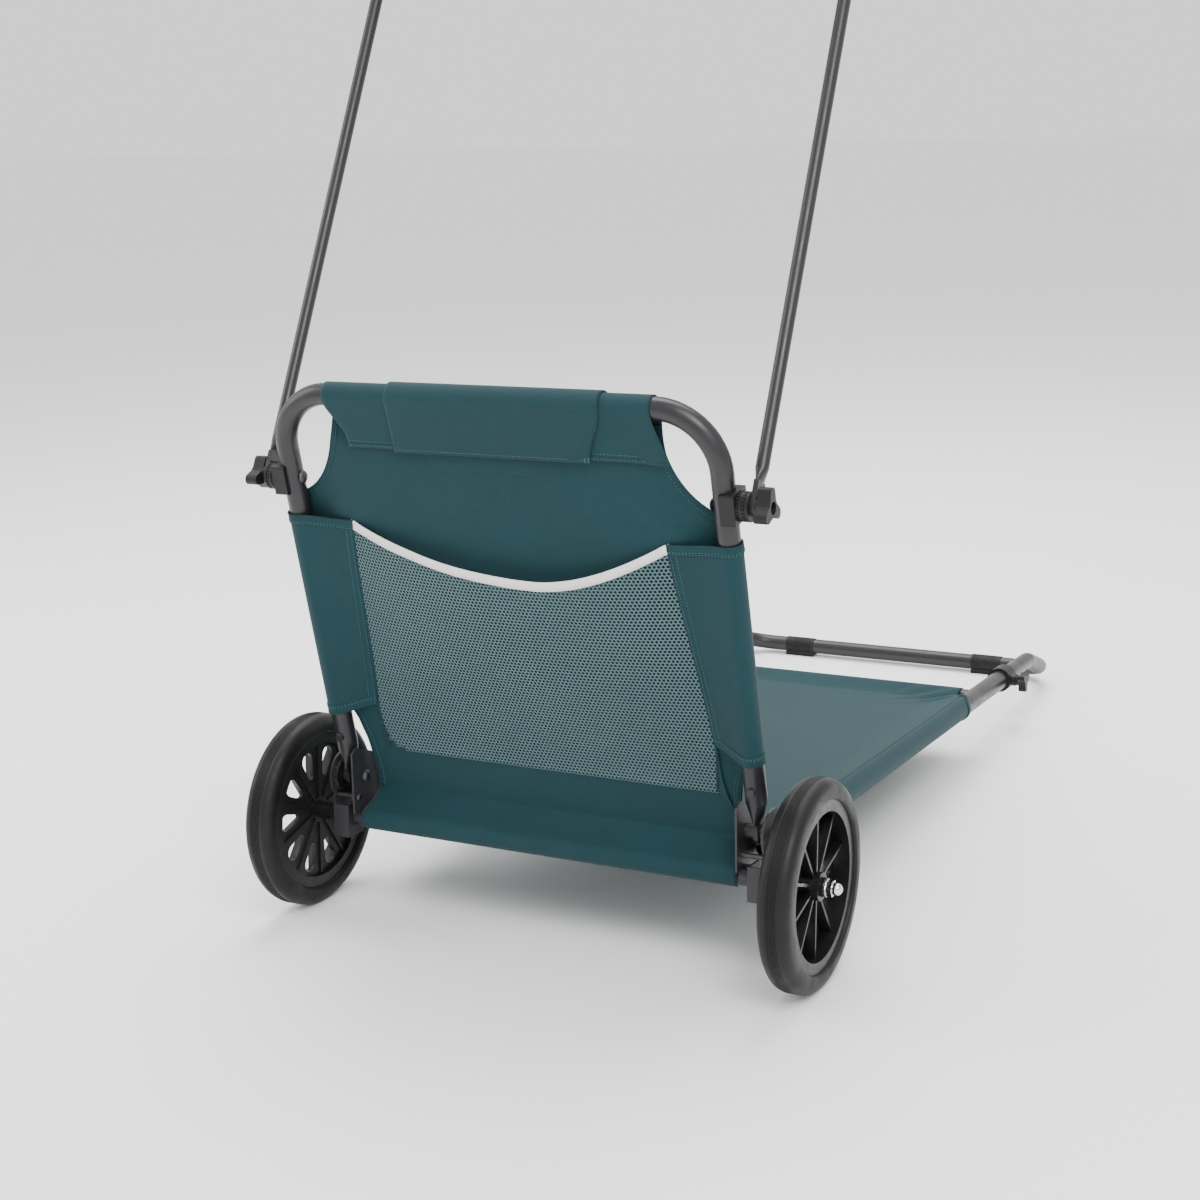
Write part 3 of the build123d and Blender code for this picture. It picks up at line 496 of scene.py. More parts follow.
# ---- backrest cloth ----
SEAM_TOP = 350 * MM          # inner top corner of a side sleeve's rear flap
SLEEVE_TOP = 356 * MM
SLEEVE_LOW = 126 * MM
FLAP_LOW = 430 * MM          # lower edge of the top sleeve's rear flap
CREASE_UP = 28 * MM          # bottom of the back panel, and how far in front of the legs it is
CREASE_AHEAD = 11.4 * MM
TOP_HALF = 176 * MM
SEAM_X = in_mm((77, 190), (125, 194.5), (350, 173))    # a sleeve's seam at heights
PANEL_AHEAD = 12 * MM        # the panel's lower part lies level with the fronts of the legs
TOP_FLAP_OUT = 2.4 * MM      # top flap's lower edge behind the legs' plane, and its stitches
TOP_STITCH_OUT = 5.2 * MM
CUT_A = 75 * MM              # half axes of the elliptical corner cut-outs
CUT_B = 100 * MM
CUT_TOP = 471 * MM
CUT_X = 178 * MM
# The panel's half width at heights below the sleeves, and the edges of the loose seam end.
LOW_EDGE = in_mm((28, 212.5), (45, 212), (64, 213.5), (88, 217), (98, 220), (112, 224), (121, 229),
                 (126, 234))
TAIL_OUT = in_mm((58, 208), (77, 201.5), (99, 197), (122, 196))
TAIL_IN = in_mm((58, 207.4), (80, 190), (125, 194.5))
SLEEVE_SLANT = 6 * MM        # how far a sleeve's ends slant between the leg and the seam


def seam_x(up):
    return between(SEAM_X, up)


def panel_base(up):
    """How far the panel's middle is in front of the legs' plane, before it sags."""
    return PANEL_AHEAD * (1 - smoothstep(140 * MM, 345 * MM, up))


def tent(far, reach, radius):
    """Height of cloth that runs from a seam, over reach, up onto a tube's face. far is the
    distance left to the tube's middle."""
    if far >= reach:
        return 0.0
    touch = radius * radius / reach
    if far <= touch:
        return math.sqrt(max(0.0, radius * radius - far * far))
    rise = math.sqrt(radius * radius - touch * touch)
    share = (reach - far) / (reach - touch)
    return rise * (share - 0.12 * math.sin(math.pi * min(1.0, share)) * (1 - share))


def panel_half(up):
    """Half width of the back panel's front layer at a height."""
    if up <= SLEEVE_LOW:
        return between(LOW_EDGE, up)
    if up <= CUT_TOP - CUT_B * 0.974:
        return leg_x
    if up <= CUT_TOP:
        drop = min(1.0, (CUT_TOP - up) / CUT_B)
        return min(leg_x, CUT_X + CUT_A * (1 - math.sqrt(1 - drop * drop)))
    return CUT_X - (up - CUT_TOP) / (bar_up - CUT_TOP) * (CUT_X - TOP_HALF)


def panel_w(x, up):
    """How far the panel stands in front of the legs' plane."""
    base = panel_base(up)
    reach = leg_x - seam_x(up)
    w = base + tent(leg_x - abs(x), reach, SLEEVE_R) * (1 - base / SLEEVE_R)
    w = max(w, tent(bar_up - up, bar_up - FLAP_LOW, SLEEVE_R))
    inside = max(0.0, 1 - (x / (leg_x - 30 * MM)) ** 2)
    hang = smoothstep(60 * MM, 200 * MM, up) * (1 - smoothstep(300 * MM, 430 * MM, up))
    w -= 4.0 * MM * inside * hang
    w -= (PANEL_AHEAD - CREASE_AHEAD) * smoothstep(60 * MM, CREASE_UP, up)
    w += 0.55 * MM * ripple(x, up * 0.45, 24, 3.1) * inside
    pull = math.exp(-((up - 368 * MM) / (26 * MM)) ** 2) * smoothstep(90 * MM, 215 * MM, abs(x))
    w += 0.9 * MM * math.sin((abs(x) * 0.8 + up) * 170) * pull * smoothstep(leg_x, leg_x - 25 * MM, abs(x))
    return w


def on_panel(x, up, lift=0.0):
    """Point on the panel's rear face, and the way out of it."""
    d = 1.5 * MM
    slope_x = (panel_w(x + d, up) - panel_w(x - d, up)) / (2 * d)
    slope_u = (panel_w(x, up + d) - panel_w(x, up - d)) / (2 * d)
    out = Vector((slope_x, -1, slope_u)).normalized()
    p = Vector((x, panel_w(x, up), up)) + out * (CLOTH / 2 + lift)
    return back @ p, (back.to_3x3() @ out)


def hinge_with_deck(obj, *nodes, slot="teal_fabric"):
    """Cloth near the crease, with its place baked into its mesh; it replaces the CAD nodes."""
    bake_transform(obj)
    if nodes:
        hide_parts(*nodes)
    return obj


def back_panel():
    """Front layer from the roll up to the top bar, with two corner cut-outs."""
    heights = (steps(CREASE_UP, 118 * MM, 5 * MM) + steps(120 * MM, 127 * MM, 1.2 * MM)
               + steps(130 * MM, 366 * MM, 6 * MM) + steps(369 * MM, 400 * MM, 1.6 * MM)
               + steps(403 * MM, bar_up, 3.2 * MM))
    columns = steps(-1, 1, 0.02)
    rows = roll_rows(columns)
    for up in heights:
        half = panel_half(up)
        rows.append([back @ Vector((half * c, panel_w(half * c, up), up)) for c in columns])
    return hinge_with_deck(sheet_of("back_panel", rows), "back_fabric")


def edge_hem(name, side, edge, size, hem_in, sew_in, lift):
    """Band along an edge of (point, inward) pairs on the panel, and the line of its stitches."""
    line, across, sewn = [], [], []
    for corner, inward in edge:
        at, sew = corner + inward * hem_in, corner + inward * sew_in
        line.append(on_panel(side * at.x, at.z))
        across.append(back.to_3x3() @ Vector((side * inward.x, 0, inward.z)))
        sewn.append(on_panel(side * sew.x, sew.z, lift))
    return band(name, line, across, *size), sewn


def low_trim(side):
    """Hem along the panel's concave lower edge."""
    edge = []
    for up in steps(33 * MM, 119 * MM, 4 * MM):
        slope = (panel_half(up + MM) - panel_half(up - MM)) / (2 * MM)
        edge.append((Vector((panel_half(up), 0, up)), Vector((-1, 0, slope)).normalized()))
    hem, sewn = edge_hem(f"low_hem_{MARK[side]}", side, edge, (9.2 * MM, 0.9 * MM), 4.6 * MM, 7.4 * MM,
                         0.8 * MM)
    hinge_with_deck(hem)
    hinge_with_deck(stitches(f"low_hem_stitches_{MARK[side]}", [sewn]))


def seam_tail():
    """Loose end of the right seam's allowance, which stands off the panel below the sleeve."""
    rows = []
    for up in steps(58 * MM, 122 * MM, 3 * MM):
        inner, outer = between(TAIL_IN, up), between(TAIL_OUT, up)
        rows.append([on_panel(inner + (outer - inner) * t, up, (0.3 + 1.9 * t * t) * MM)[0]
                     for t in steps(0, 1, 0.2)])
    hinge_with_deck(sheet_of("seam_tail_right", rows))


def flap_profile(up, thin=0.0):
    """A side sleeve's profile (x, w) from the leg's front round its outside to the rear seam."""
    radius = SLEEVE_R + thin
    reach = leg_x - seam_x(up)
    leave = tangent_angle(reach, radius)
    round_leg = arc((leg_x, 0), radius, 90, -(180 - leave), 20)
    end = (seam_x(up), panel_base(up) - 2.2 * MM - thin)
    return round_leg + straight(round_leg[-1], end, 1 / 16, 0.8 * MM)


def sleeve_dip(share, inner):
    """Drop of the sleeve's top end, and rise of its low end, from the leg in to the seam."""
    return SLEEVE_SLANT * (2 * share - 1) * inner


def side_sleeve(side):
    """Cloth round a leg, its rear flap sewn to the panel."""
    rows = []
    for share in steps(0, 1, 1 / 46):
        row = []
        nominal = SLEEVE_LOW + (SLEEVE_TOP - SLEEVE_LOW) * share
        profile = flap_profile(nominal)
        mouth = 0.9 * MM * (smoothstep(0.965, 1.0, share) + smoothstep(0.035, 0.0, share))
        for k, (x, w) in enumerate(profile):
            inner = smoothstep(leg_x, seam_x(nominal), x)
            sag = 0.7 * MM * ripple(x * 2 + side, nominal * 0.35, 22, 8.3) * inner * 2.2 * (1 - inner)
            flare = mouth * (0.4 + 0.6 * abs(math.sin(math.pi * k / len(profile))))
            row.append(back @ Vector((side * (x + (flare if x > leg_x else 0)),
                                      w - sag - (flare if w < 0 else 0), nominal - sleeve_dip(share, inner))))
        rows.append(row)
    finish_soft(sheet_of(f"side_sleeve_{MARK[side]}", rows), "backrest")


def flap_line(side, share, lift):
    """Line round a side sleeve at a share of its height, with the way out of the leg."""
    nominal = SLEEVE_LOW + (SLEEVE_TOP - SLEEVE_LOW) * share
    line = []
    for x, w in flap_profile(nominal, lift):
        inner = smoothstep(leg_x, seam_x(nominal), x)
        up = nominal - sleeve_dip(share, inner)
        if x >= leg_x - 3 * MM:
            out = Vector((side * (x - leg_x), w, 0)).normalized()
        else:
            out = Vector((0, -1, 0))
        line.append((back @ Vector((side * x, w, up)), back.to_3x3() @ out))
    return line


def rear_point(x, w, up):
    return back @ Vector((x, w, up)), BACK_OUT


def sleeve_trim(side):
    """Hem bands at both ends of a side sleeve, the seam's folded edge and all its stitching."""
    mark = MARK[side]
    for end, share in (("top", 0.976), ("low", 0.024)):
        line = flap_line(side, share, 0.75 * MM)
        hem = band(f"sleeve_hem_{end}_{mark}", line, [BACK_UP] * len(line), 10.5 * MM, 0.55 * MM)
        finish_soft(hem, "backrest")
    ring_lines = [flap_line(side, share, 1.45 * MM) for share in (0.961, 0.968, 0.032, 0.039)]
    heights = steps(SLEEVE_LOW + 6 * MM, SEAM_TOP - 4 * MM, 8 * MM)
    seam_lines = []
    for inset in (2.2 * MM, 8.0 * MM):
        line = []
        for up in heights:
            x = seam_x(up) + inset
            profile = flap_profile(up)
            near = min(profile[21:], key=lambda p: abs(p[0] - x))
            line.append(rear_point(side * x, near[1] - CLOTH / 2 - 0.2 * MM, up))
        seam_lines.append(line)
    finish_soft(stitches(f"sleeve_stitches_{mark}", ring_lines + seam_lines), "backrest")
    fold = [on_panel(side * seam_x(up), up, 0.2 * MM) for up in steps(80 * MM, SEAM_TOP, 6 * MM)]
    across = back.to_3x3() @ Vector((1, 0, 0))
    hinge_with_deck(band(f"seam_fold_{mark}", fold, [across] * len(fold), 3.4 * MM, 1.3 * MM))


def top_sleeve():
    """Cloth over the top bar with its rear flap, open at both ends."""
    leave = tangent_angle(bar_up - FLAP_LOW, SLEEVE_R)
    over = arc((0, bar_up), SLEEVE_R, 0, 180, 16)
    tail_from = arc((0, bar_up), SLEEVE_R, 180, 180 + 90 - leave, 2)[1:]
    profile = over + tail_from + straight(tail_from[-1], (-TOP_FLAP_OUT, FLAP_LOW), 1 / 12)
    rows = []
    for w, up in profile:
        drop = smoothstep(bar_up, FLAP_LOW, up) if w < 0 else 0
        share = (bar_up - up) / (bar_up - FLAP_LOW) if w < 0 else 0
        low = -TOP_HALF + 17 * MM * smoothstep(0, 0.8, share)
        high = TOP_HALF + 11 * MM * drop
        row = []
        for c in steps(0, 1, 1 / 90):
            x = low + (high - low) * c
            stand_off = 0.8 * MM * (1 + ripple(x, up, 20, 5.5)) + 3.5 * MM * smoothstep(150 * MM, 187 * MM, x)
            row.append(back @ Vector((x, w - drop * stand_off, up)))
        rows.append(row)
    finish_soft(sheet_of("top_sleeve", rows), "backrest")


def top_trim():
    """Stitching along the top sleeve's rear flap."""
    lines = []
    for up in (FLAP_LOW + 3 * MM, FLAP_LOW + 7.5 * MM):
        lines.append([rear_point(x, -TOP_STITCH_OUT, up) for x in steps(-157 * MM, 168 * MM, 6 * MM)])
    finish_soft(stitches("top_flap_stitches", lines), "backrest")


def cut_trim(side):
    """Hem along a corner cut-out."""
    edge = []
    for turn in steps(4, 77, 3):
        angle = math.radians(turn)
        way = Vector((CUT_A * math.sin(angle), 0, -CUT_B * math.cos(angle))).normalized()
        x = CUT_X + CUT_A * (1 - math.cos(angle))
        up = CUT_TOP - CUT_B * math.sin(angle)
        edge.append((Vector((x, 0, up)), Vector((way.z, 0, -way.x))))
    hem, sewn = edge_hem(f"cut_out_hem_{MARK[side]}", side, edge, (7.5 * MM, 0.7 * MM), 3.6 * MM, 5.6 * MM,
                         0.75 * MM)
    finish_soft(hem, "backrest")
    finish_soft(stitches(f"cut_out_stitches_{MARK[side]}", [sewn]), "backrest")


# ---- mesh pocket ----
POCKET_LOW = 80 * MM
POCKET_SAG = 41 * MM
POCKET_TOP = 350 * MM
POCKET_SWELL = 19 * MM
NET_HALF = 205 * MM
NET_PITCH = 4.2 * MM
NET_STRAND = 0.62 * MM
NET_THICK = 0.45 * MM
TAPE_WIDTH = 9.5 * MM


def pocket_edge(x):
    """Height of the pocket's slack top edge."""
    left, right = -seam_x(POCKET_TOP), seam_x(POCKET_TOP)
    low_x = 40 * MM
    reach = (right - low_x) if x > low_x else (low_x - left)
    share = min(1.0, abs(x - low_x) / reach)
    return POCKET_TOP - POCKET_SAG * (1 - share ** 1.75)


def pocket_out(x, up):
    """How far the pocket stands behind the panel."""
    edge = seam_x(up)
    round_x = max(0.0, 1 - (abs(x) / edge) ** 2.6)
    rise = smoothstep(POCKET_LOW - 4 * MM, POCKET_LOW + 120 * MM, up)
    top = smoothstep(POCKET_LOW, pocket_edge(x), up)
    soft = 1 + 0.10 * ripple(x, up, 14, 2.2)
    return 1.3 * MM + POCKET_SWELL * round_x * (0.35 * rise + 0.65 * top) * soft


def on_pocket(x, up, lift=0.0):
    return back @ Vector((x, panel_w(x, up) - pocket_out(x, up) - lift, up))


def in_pocket(x, up):
    if abs(x) > seam_x(up) + 1 * MM:
        return False
    if up > pocket_edge(x) - 2 * MM or up < POCKET_LOW:
        return False
    corner = 22 * MM
    low_x = -seam_x(POCKET_LOW) + corner
    if x < low_x and up < POCKET_LOW + corner:
        return (x - low_x) ** 2 + (up - POCKET_LOW - corner) ** 2 < corner ** 2
    return True


def mesh_net():
    """Hexagonal knit: shared corner points round each hole, each strand with a width."""
    side = NET_PITCH / math.sqrt(3)
    hole = 1 - NET_STRAND / (NET_PITCH / 2)
    points, index, faces, uvs = [], {}, [], []

    def vertex(x, up, key):
        if key not in index:
            index[key] = len(points)
            points.append(on_pocket(x, up))
            uvs.append((x, up))
        return index[key]

    row_gap = side * 1.5
    half_count = int(NET_HALF / NET_PITCH) + 1
    for r in range(int((POCKET_TOP - POCKET_LOW) / row_gap) + 2):
        up = POCKET_LOW + r * row_gap
        for c in range(-half_count, half_count + 1):
            x = (c + (r % 2) / 2) * NET_PITCH
            if not in_pocket(x, up):
                continue
            outer, inner = [], []
            for k in range(6):
                angle = math.radians(30 + 60 * k)
                px, pu = x + side * math.cos(angle), up + side * math.sin(angle)
                key = (round(px / MM * 20), round(pu / MM * 20))
                outer.append(vertex(px, pu, key))
                hx, hu = x + side * hole * math.cos(angle), up + side * hole * math.sin(angle)
                inner.append(vertex(hx, hu, (r, c, k)))
            for k in range(6):
                n = (k + 1) % 6
                faces.append((outer[k], outer[n], inner[n], inner[k]))
    net = new_piece("mesh_pocket_net", points, faces, NET, uvs)
    thicken(net, NET_THICK)
    return hinge_with_deck(net, "mesh_pocket", slot="pocket_mesh")


def pocket_tape():
    """White tape folded over the net's top edge."""
    left, right = -seam_x(POCKET_TOP) - 2 * MM, seam_x(POCKET_TOP) + 2 * MM
    rows = []
    for k in range(73):
        x = left + (right - left) * k / 72
        edge = pocket_edge(x)
        wave = 0.25 * MM * ripple(x, 0.3, 60, 1.7)
        row = []
        for out, down in ((-1.0, 1.0), (-0.9, 0.5), (-0.75, 0.12), (-0.2, -0.02), (0.45, 0.04),
                          (0.85, 0.15), (0.9, 0.5), (1.0, 1.0)):
            up = edge - down * TAPE_WIDTH
            row.append(on_pocket(x, up, 0.75 * MM * out + wave))
        rows.append(row)
    tape = sheet_of("pocket_tape", rows, TAPE, 0.5 * MM)
    finish_soft(tape, "backrest", "pocket_binding", slot="white_tape")
    sewn = []
    for x in steps(left + 4 * MM, right - 4 * MM, 5 * MM):
        sewn.append((on_pocket(x, pocket_edge(x) - TAPE_WIDTH * 0.8, 1.15 * MM), BACK_OUT))
    finish_soft(stitches("tape_stitches", [sewn], TAPE), "backrest", slot="white_tape")


# ---- head pillow ----
PILLOW_FLAP_OUT = 6.3 * MM   # its lower edge behind the legs' plane, and its stitches
PILLOW_STITCH_OUT = 7.4 * MM


def pillow_flap():
    """Strip that carries the pillow, over the top bar and down the back."""
    radius = SLEEVE_R + 1.9 * MM
    leave = tangent_angle(bar_up - FLAP_LOW, radius)
    front = [(radius, bar_up - 26 * MM * t) for t in (1, 0.66, 0.33)]
    over = arc((0, bar_up), radius, 0, 180 + 90 - leave, 20)
    low = FLAP_LOW - 1.5 * MM
    tail = straight(over[-1], (-PILLOW_FLAP_OUT, low), 1 / 12)
    rows = []
    count = 61
    for k, (w, up) in enumerate(front + over + tail):
        drop = smoothstep(bar_up, low, up) if w < 0 else 0
        left, right = -103 * MM - 2 * MM * drop, 125 * MM - 18 * MM * drop
        row = []
        for c in range(count):
            x = left + (right - left) * c / (count - 1)
            edge = min(c, count - 1 - c) / 4
            lip = 0.6 * MM * smoothstep(1, 0, edge)
            row.append(back @ Vector((x, w + (lip - 0.5 * MM * ripple(x, up, 26, 9.9)) * drop, up)))
        rows.append(row)
    made = sheet_of("pillow_flap", rows, PILLOW, 1.6 * MM)
    finish_soft(made, "backrest", slot="pillow_fabric")
    lines = []
    for inset in (3 * MM, 6 * MM):
        lines.append([rear_point(x, -PILLOW_STITCH_OUT, low + inset)
                      for x in steps(-101 * MM, 104 * MM, 6 * MM)])
    tack = [[rear_point(x, -PILLOW_STITCH_OUT - 0.2 * MM, low + 1 * MM + k * 1.1 * MM)
             for x in steps(101 * MM, 107 * MM, 1 * MM)] for k in range(5)]
    finish_soft(stitches("pillow_flap_stitches", lines + tack), "backrest", slot="pillow_fabric")
    return made


def head_pillow():
    """Stuffed cushion on the sitter's side, blown up by cloth simulation from a flat bag."""
    half_x, low, high, depth = 106 * MM, 391 * MM, bar_up - 6 * MM, 9 * MM
    middle_up, half_u = (low + high) / 2, (high - low) / 2
    front = 11.5 * MM
    across, upward = 44, 18
    points = []
    for face in (0, 1):
        for r in range(upward + 1):
            for c in range(across + 1):
                a, b = 2 * c / across - 1, 2 * r / upward - 1
                crown = (1 - a ** 6) * (1 - b ** 4)
                w = front + (depth * crown + 1 * MM) * (1 if face else -0.6)
                points.append(Vector((half_x * a, w, middle_up + half_u * b)))
    layer = (across + 1) * (upward + 1)
    faces = quads(upward + 1, across + 1)
    faces += [tuple(reversed(quad)) for quad in quads(upward + 1, across + 1, layer)]
    rim = [c for c in range(across)] + [across + r * (across + 1) for r in range(upward)]
    rim += [layer - 1 - c for c in range(across)] + [(upward - r) * (across + 1) for r in range(upward)]
    for k, a in enumerate(rim):
        b = rim[(k + 1) % len(rim)]
        faces.append((b, a, a + layer, b + layer))
    made = new_piece("head_pillow_cushion", [back @ p for p in points], faces, PILLOW,
                     [(p.x, p.z) for p in points])
    start = [v.co.copy() for v in made.data.vertices]
    swell(made, start, 7 * MM)
    smooth = made.modifiers.new("smooth", "SUBSURF")
    smooth.levels = smooth.render_levels = 1
    settled(made)
    finish_soft(made, "backrest", "head_pillow", slot="pillow_fabric")


def swell(obj, start, most, frames=20):
    """Blows the closed cloth up a little, with no point moving further than most."""
    bpy.context.view_layer.objects.active = obj
    soft = obj.modifiers.new("cloth", "CLOTH")
    soft.settings.use_pressure = True
    soft.settings.uniform_pressure_force = 4
    soft.settings.quality = 6
    soft.settings.effector_weights.gravity = 0
    scene = bpy.context.scene
    for f in range(1, frames + 1):
        scene.frame_set(f)
    graph = bpy.context.evaluated_depsgraph_get()
    moved = [v.co.copy() for v in obj.evaluated_get(graph).data.vertices]
    obj.modifiers.clear()
    for v, a, b in zip(obj.data.vertices, start, moved):
        step = b - a
        v.co = a + step * min(1.0, most / max(step.length, 1e-9))
    scene.frame_set(1)


# ---- deck cloth ----
DECK_REAR = 18 * MM
DECK_SLEEVE_REAR = 62 * MM
DECK_SEAM_X = 192 * MM
DECK_PLANE = 3 * MM          # middle of the deck above the rails' middle
DECK_SLEEVE_R = RAIL_R + 0.9 * MM
HEM_R = CROSS_R + 0.9 * MM
HEM_HALF = 219 * MM
DECK_SAG = 7 * MM
SAG_RUN = 220 * MM            # the sag is full this far from the deck's ends
FRONT_SEAM_BACK = 34 * MM     # seam of the front hem behind the front cross tube
NOTCH_BACK = 42 * MM          # rail sleeve's front end behind the front cross tube, on its top
NOTCH_SLANT = 19 * MM         # and how much shorter it is on its outside
ROLL_HALF = ((0, 212.5 * MM), (7, 215 * MM), (13, 218.5 * MM), (22, 218.5 * MM), (30, 215 * MM),
             (60, 213 * MM))          # half width at the roll's rows, counted from the crease
DECK_REAR_HALF = in_mm((18, 199), (40, 206), (58, 212)) + ((DECK_SLEEVE_REAR, rail_x),)


def deck_half(y):
    if y < DECK_SLEEVE_REAR:
        return between(DECK_REAR_HALF, y)
    ahead = (y - (front_y - NOTCH_BACK)) / (18 * MM)
    if ahead > 0:
        return HEM_HALF + (rail_x - HEM_HALF) * (1 - smoothstep(0, 1, ahead))
    return rail_x


def deck_sag(x, y):
    ends = smoothstep(DECK_REAR, SAG_RUN, y) * (1 - smoothstep(front_y - SAG_RUN, front_y, y))
    return DECK_SAG * max(0.0, 1 - (x / DECK_SEAM_X) ** 2) * ends


def deck_z(x, y):
    far = rail_x - abs(x)
    reach = rail_x - DECK_SEAM_X
    z = DECK_PLANE
    side = smoothstep(DECK_SLEEVE_REAR - 20 * MM, DECK_SLEEVE_REAR, y)
    side *= 1 - smoothstep(front_y - NOTCH_BACK, front_y - 8 * MM, y)
    z += (tent(far, reach, DECK_SLEEVE_R) * (1 - DECK_PLANE / DECK_SLEEVE_R)) * side
    front = tent(front_y - y, FRONT_SEAM_BACK, HEM_R) if y < front_y else HEM_R
    z = max(z, DECK_PLANE + front * (1 - DECK_PLANE / HEM_R))
    z -= deck_sag(x, y)
    z += 0.5 * MM * ripple(x, y * 0.5, 16, 6.4) * max(0.0, 1 - (x / DECK_SEAM_X) ** 2)
    corner = math.exp(-((y - front_y + 38 * MM) / (30 * MM)) ** 2) * smoothstep(120 * MM, 200 * MM, abs(x))
    z += 1.7 * MM * math.sin((abs(x) * 0.6 - y * 0.9) * 260) * corner * smoothstep(0, 20 * MM, far)
    return rail_z + z


def deck_sheet():
    """Sheet between the rails, from the crease to the front cross tube."""
    lengths = (steps(DECK_REAR, 56 * MM, 5 * MM) + steps(58 * MM, 64 * MM, 1.5 * MM)
               + steps(70 * MM, front_y - 60 * MM, 11 * MM) + steps(front_y - 56 * MM, front_y, 2.5 * MM))
    rows = []
    for y in lengths:
        half = deck_half(y)
        rows.append([chassis @ Vector((half * c, y, deck_z(half * c, y))) for c in steps(-1, 1, 0.02)])
    return finish_soft(sheet_of("deck_sheet", rows), "chassis", "deck_fabric")


def deck_stitch(x, y):
    """Point of a stitch line on top of the deck, and the way out of it."""
    return chassis @ Vector((x, y, deck_z(x, y) + CLOTH / 2 + 0.1 * MM)), DECK_UP


def deck_sleeve(side):
    """Cloth from the top of a rail round its outside, back under the deck to the seam."""
    mark = MARK[side]
    end_z = rail_z + DECK_PLANE - 1.6 * MM
    reach = rail_x - DECK_SEAM_X
    leave = tangent_angle(reach, DECK_SLEEVE_R)
    round_rail = arc((rail_x, rail_z), DECK_SLEEVE_R, 90, -(180 - leave), 22)
    profile = round_rail + straight(round_rail[-1], (DECK_SEAM_X, end_z), 0.1)
    rows = []
    for share_y in steps(0, 1, 1 / 72):
        y = DECK_SLEEVE_REAR + (front_y - NOTCH_BACK - DECK_SLEEVE_REAR) * share_y
        pull = 0.5 * MM * ripple(y, 1.3 * side, 18, 4.2)
        row = []
        for k, (x, z) in enumerate(profile):
            share = smoothstep(rail_x - 10 * MM, DECK_SEAM_X, x)
            short = NOTCH_SLANT * smoothstep(0, 7, k) * smoothstep(0.8, 1, share_y)
            row.append(chassis @ Vector((side * x, y - short, z - (pull + deck_sag(x, y)) * share)))
        rows.append(row)
    finish_soft(sheet_of(f"deck_sleeve_{mark}", rows), "chassis")
    lines = []
    for inset in (0, 5.5 * MM):
        lines.append([deck_stitch(side * (DECK_SEAM_X + inset), y)
                      for y in steps(DECK_SLEEVE_REAR + 4 * MM, front_y - 44 * MM, 8 * MM)])
    finish_soft(stitches(f"deck_stitches_{mark}", lines), "chassis")
    ring = []
    for k, (a, b) in enumerate(arc((rail_x, rail_z), DECK_SLEEVE_R + 0.8 * MM, 118, -120, 26)):
        y = front_y - NOTCH_BACK - 5 * MM - NOTCH_SLANT * smoothstep(3, 10, k)
        out = Vector((side * (a - rail_x), 0, b - rail_z)).normalized()
        ring.append((chassis @ Vector((side * a, y, b)), chassis.to_3x3() @ out))
    hem = band(f"deck_sleeve_hem_{mark}", ring, [DECK_AHEAD] * len(ring), 8.5 * MM, 0.9 * MM)
    finish_soft(hem, "chassis")


def front_hem():
    """Cloth round the front cross tube and back under the deck."""
    end = (front_y - FRONT_SEAM_BACK, rail_z + DECK_PLANE - 1.8 * MM)
    leave = tangent_angle(math.hypot(FRONT_SEAM_BACK, DECK_PLANE), HEM_R)
    round_tube = arc((front_y, rail_z), HEM_R, 90, -(180 - leave), 22)
    rows = [[chassis @ Vector((x, y, z)) for x in steps(-HEM_HALF, HEM_HALF, 6 * MM)]
            for y, z in round_tube + straight(round_tube[-1], end, 0.125)]
    finish_soft(sheet_of("deck_front_hem", rows), "chassis")
    lines = []
    for y in (front_y - 33 * MM, front_y - 28 * MM):
        lines.append([deck_stitch(x, y) for x in steps(-212 * MM, 212 * MM, 6 * MM)])
    finish_soft(stitches("front_hem_stitches", lines), "chassis")


def roll_rows(columns):
    """The back sheet's lower end: from under the deck round the rear cross tube to the crease."""
    radius = CROSS_R + 1.0 * MM
    low = back @ Vector((0, CREASE_AHEAD, CREASE_UP))
    crease = chassis.inverted() @ low
    far = math.hypot(crease.y, crease.z)
    toward = math.degrees(math.atan2(crease.z, crease.y))
    leave = tangent_angle(far, radius)
    start = toward + leave
    around = arc((0, 0), radius, start, 360 + toward - leave + 12, 34)
    down = straight((crease.y, crease.z), around[0], 1 / 14, -1.6 * MM)[:-1]
    end = (DECK_REAR + 8 * MM, rail_z + DECK_PLANE - 2.4 * MM)
    rows = []
    for k, (y, z) in enumerate(down + around + straight(around[-1], end, 1 / 6)):
        relief = 0.45 * MM * (1 - min(1.0, k / 22))
        half = between(ROLL_HALF, k)
        rows.append([chassis @ Vector((half * c, y, z + relief * ripple(half * c, y, 26, 7.7)))
                     for c in columns])
    return list(reversed(rows))


# ---- canopy ----
CANOPY_BEND = math.radians(56)
CANOPY_BEND_R = 160 * MM
CANOPY_REACH = 300 * MM
CANOPY_CORNER = 60 * MM
CANOPY_AHEAD = 20 * MM
CANOPY_SLEEVE_R = POLE_R + 1.0 * MM
CANOPY_DIP = 9 * MM
DIP_RUN = 90 * MM            # the dip is full this far from the canopy's ends
CANOPY_SEAM = (24 * MM, 29 * MM)      # stitch lines inside the poles' middles
CANOPY_TOTAL = CANOPY_AHEAD + CANOPY_BEND * CANOPY_BEND_R + CANOPY_REACH


